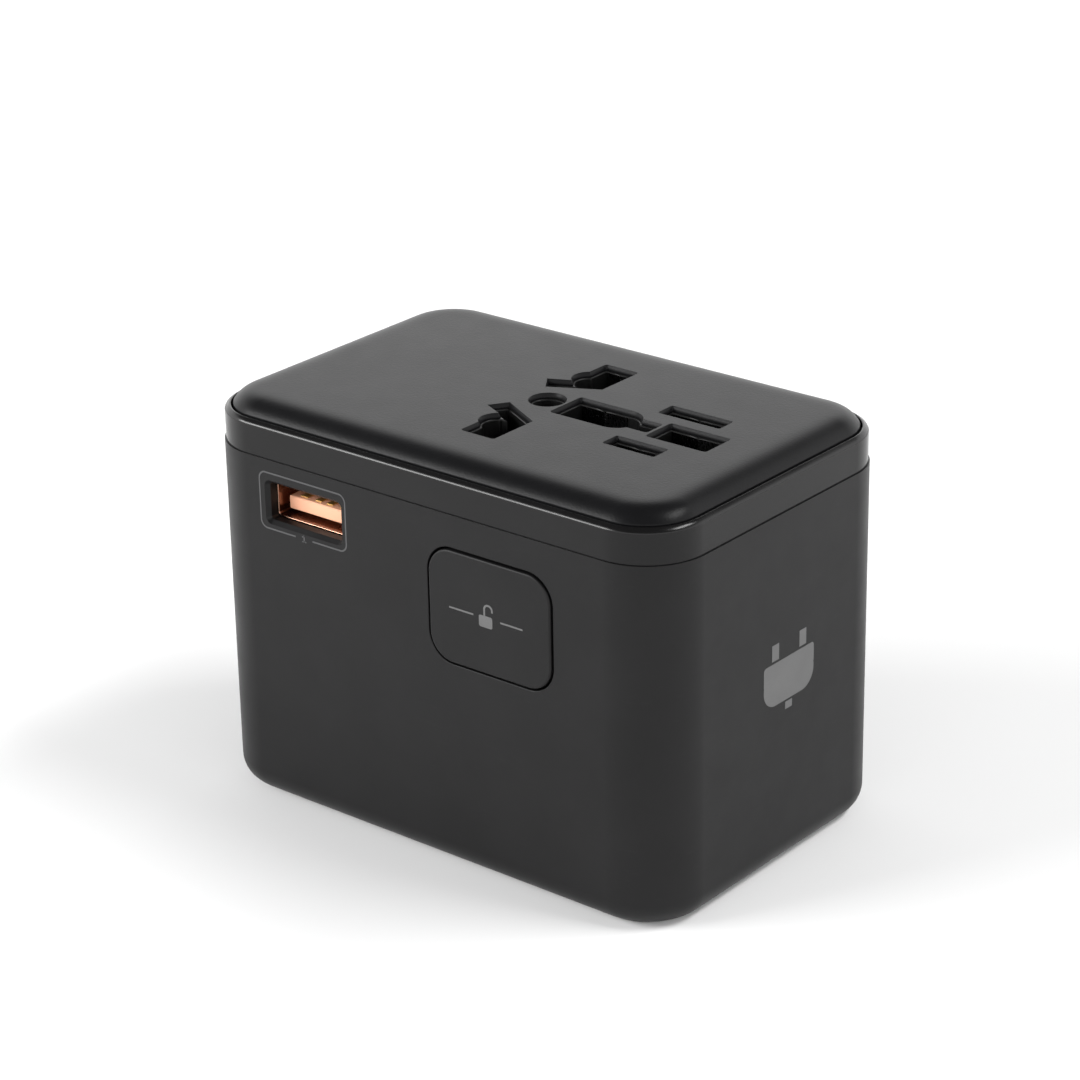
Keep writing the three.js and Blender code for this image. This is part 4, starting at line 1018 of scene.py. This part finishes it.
def plug_print(name):
    """A two-pin plug: body, pins and a stub of cord."""
    body = at(ink("plug_body", rounded(11.0, 3.0, 0.5)), 0, 0.9, 0)
    chin = at(ink("plug_chin", rounded(11.0, 5.2, 2.59)), 0, -1.0, 0)
    parts = [join(body, chin)]
    parts += [bar(x - 0.75, x + 0.75, 2.75, 5.0) for x in (-3.0, 3.0)]
    parts.append(bar(-0.75, 0.75, -4.95, -3.9))
    return gather(name, parts)


port_frame_x = FRONT_PORT_X - 0.1
PORT_FRAME_Z = 44.55
add(on_face(port_print("front_port_print"), "front", port_frame_x, PORT_FRAME_Z), "housing", FRAME_INK)
add(on_face(port_print("end_port_print"), "left", END_PORT_Y, PORT_FRAME_Z), "housing", FRAME_INK)
button_print = placed(unlock_print("unlock_pictogram"), Matrix.Translation((0, 0, BUTTON["proud"])))
UNLOCK_MARK_X = 11.2
PLUG_MARK = {"y": 1.6, "z": 27.8}
add(on_face(button_print, "front", UNLOCK_MARK_X, BUTTON["z"]), "unlock_button", PRINT)
add(on_face(plug_print("plug_pictogram"), "right", PLUG_MARK["y"], PLUG_MARK["z"]), "housing", PRINT)

# ---------------------------------------------------------------- camera, floor and light

CAMERA = {"azimuth": 39.504, "elevation": 23.005, "roll": 1.056, "lens": 110.405}
ORIGIN_IN_VIEW = Vector((1.261, -33.924, -454.99))  # the origin along the camera's own axes


def camera_axes():
    a, e, r = (math.radians(CAMERA[k]) for k in ("azimuth", "elevation", "roll"))
    right = Vector((math.cos(a), math.sin(a), 0))
    back = Vector((math.sin(a) * math.cos(e), -math.cos(a) * math.cos(e), math.sin(e)))
    up = back.cross(right)
    turned_right = math.cos(r) * right - math.sin(r) * up
    turned_up = math.sin(r) * right + math.cos(r) * up
    return Matrix((turned_right, turned_up, back)).transposed()


axes = camera_axes()
camera = bpy.data.objects.new("camera", bpy.data.cameras.new("camera"))
camera.data.lens = CAMERA["lens"]
camera.data.sensor_width = 36
camera.data.clip_start = 0.01
camera.matrix_world = Matrix.Translation(-(axes @ ORIGIN_IN_VIEW) * MM) @ axes.to_4x4()
scene.collection.objects.link(camera)
scene.camera = camera


def soft_light(name, place, aim, size, power):
    """A rectangular soft box; sizes and places in metres."""
    data = bpy.data.lights.new(name, "AREA")
    data.shape = "RECTANGLE"
    data.size, data.size_y = size
    data.energy = power
    light = bpy.data.objects.new(name, data)
    light.location = place
    light.rotation_euler = (Vector(aim) - Vector(place)).to_track_quat("-Z", "Y").to_euler()
    scene.collection.objects.link(light)


floor = block("floor", -3000, 3000, -3000, 3000, -20, 0)
floor_material = bpy.data.materials.new("floor")
floor_material.use_nodes = True
floor_shader = floor_material.node_tree.nodes["Principled BSDF"]
floor_shader.inputs["Base Color"].default_value = (0.92, 0.92, 0.92, 1)
floor_shader.inputs["Roughness"].default_value = 0.9
floor_shader.inputs["Specular IOR Level"].default_value = 0.0
paint(floor, floor_material)

WALLS = {"From Min": 0.45, "From Max": 0.64, "To Min": 2.0, "To Max": 0.07}


def studio_world():
    """Bright walls round the horizon under a dark ceiling; heights are sines of the elevation."""
    world = bpy.data.worlds.new("studio")
    world.use_nodes = True
    tree = world.node_tree
    direction = tree.nodes.new("ShaderNodeTexCoord").outputs["Generated"]
    split = tree.nodes.new("ShaderNodeSeparateXYZ")
    tree.links.new(direction, split.inputs[0])
    fall = tree.nodes.new("ShaderNodeMapRange")
    fall.interpolation_type = "SMOOTHSTEP"
    for socket, value in WALLS.items():
        fall.inputs[socket].default_value = value
    tree.links.new(split.outputs["Z"], fall.inputs["Value"])
    tree.nodes["Background"].inputs["Color"].default_value = (1, 1, 1, 1)
    tree.links.new(fall.outputs["Result"], tree.nodes["Background"].inputs["Strength"])
    return world


scene.world = studio_world()

middle = (0, 0, 0.03)
soft_light("key_box", (-0.9, -1.0, 0.73), middle, (0.9, 0.35), 17)
soft_light("right_box", (0.75, 0.45, 1.19), middle, (0.75, 0.3), 12)
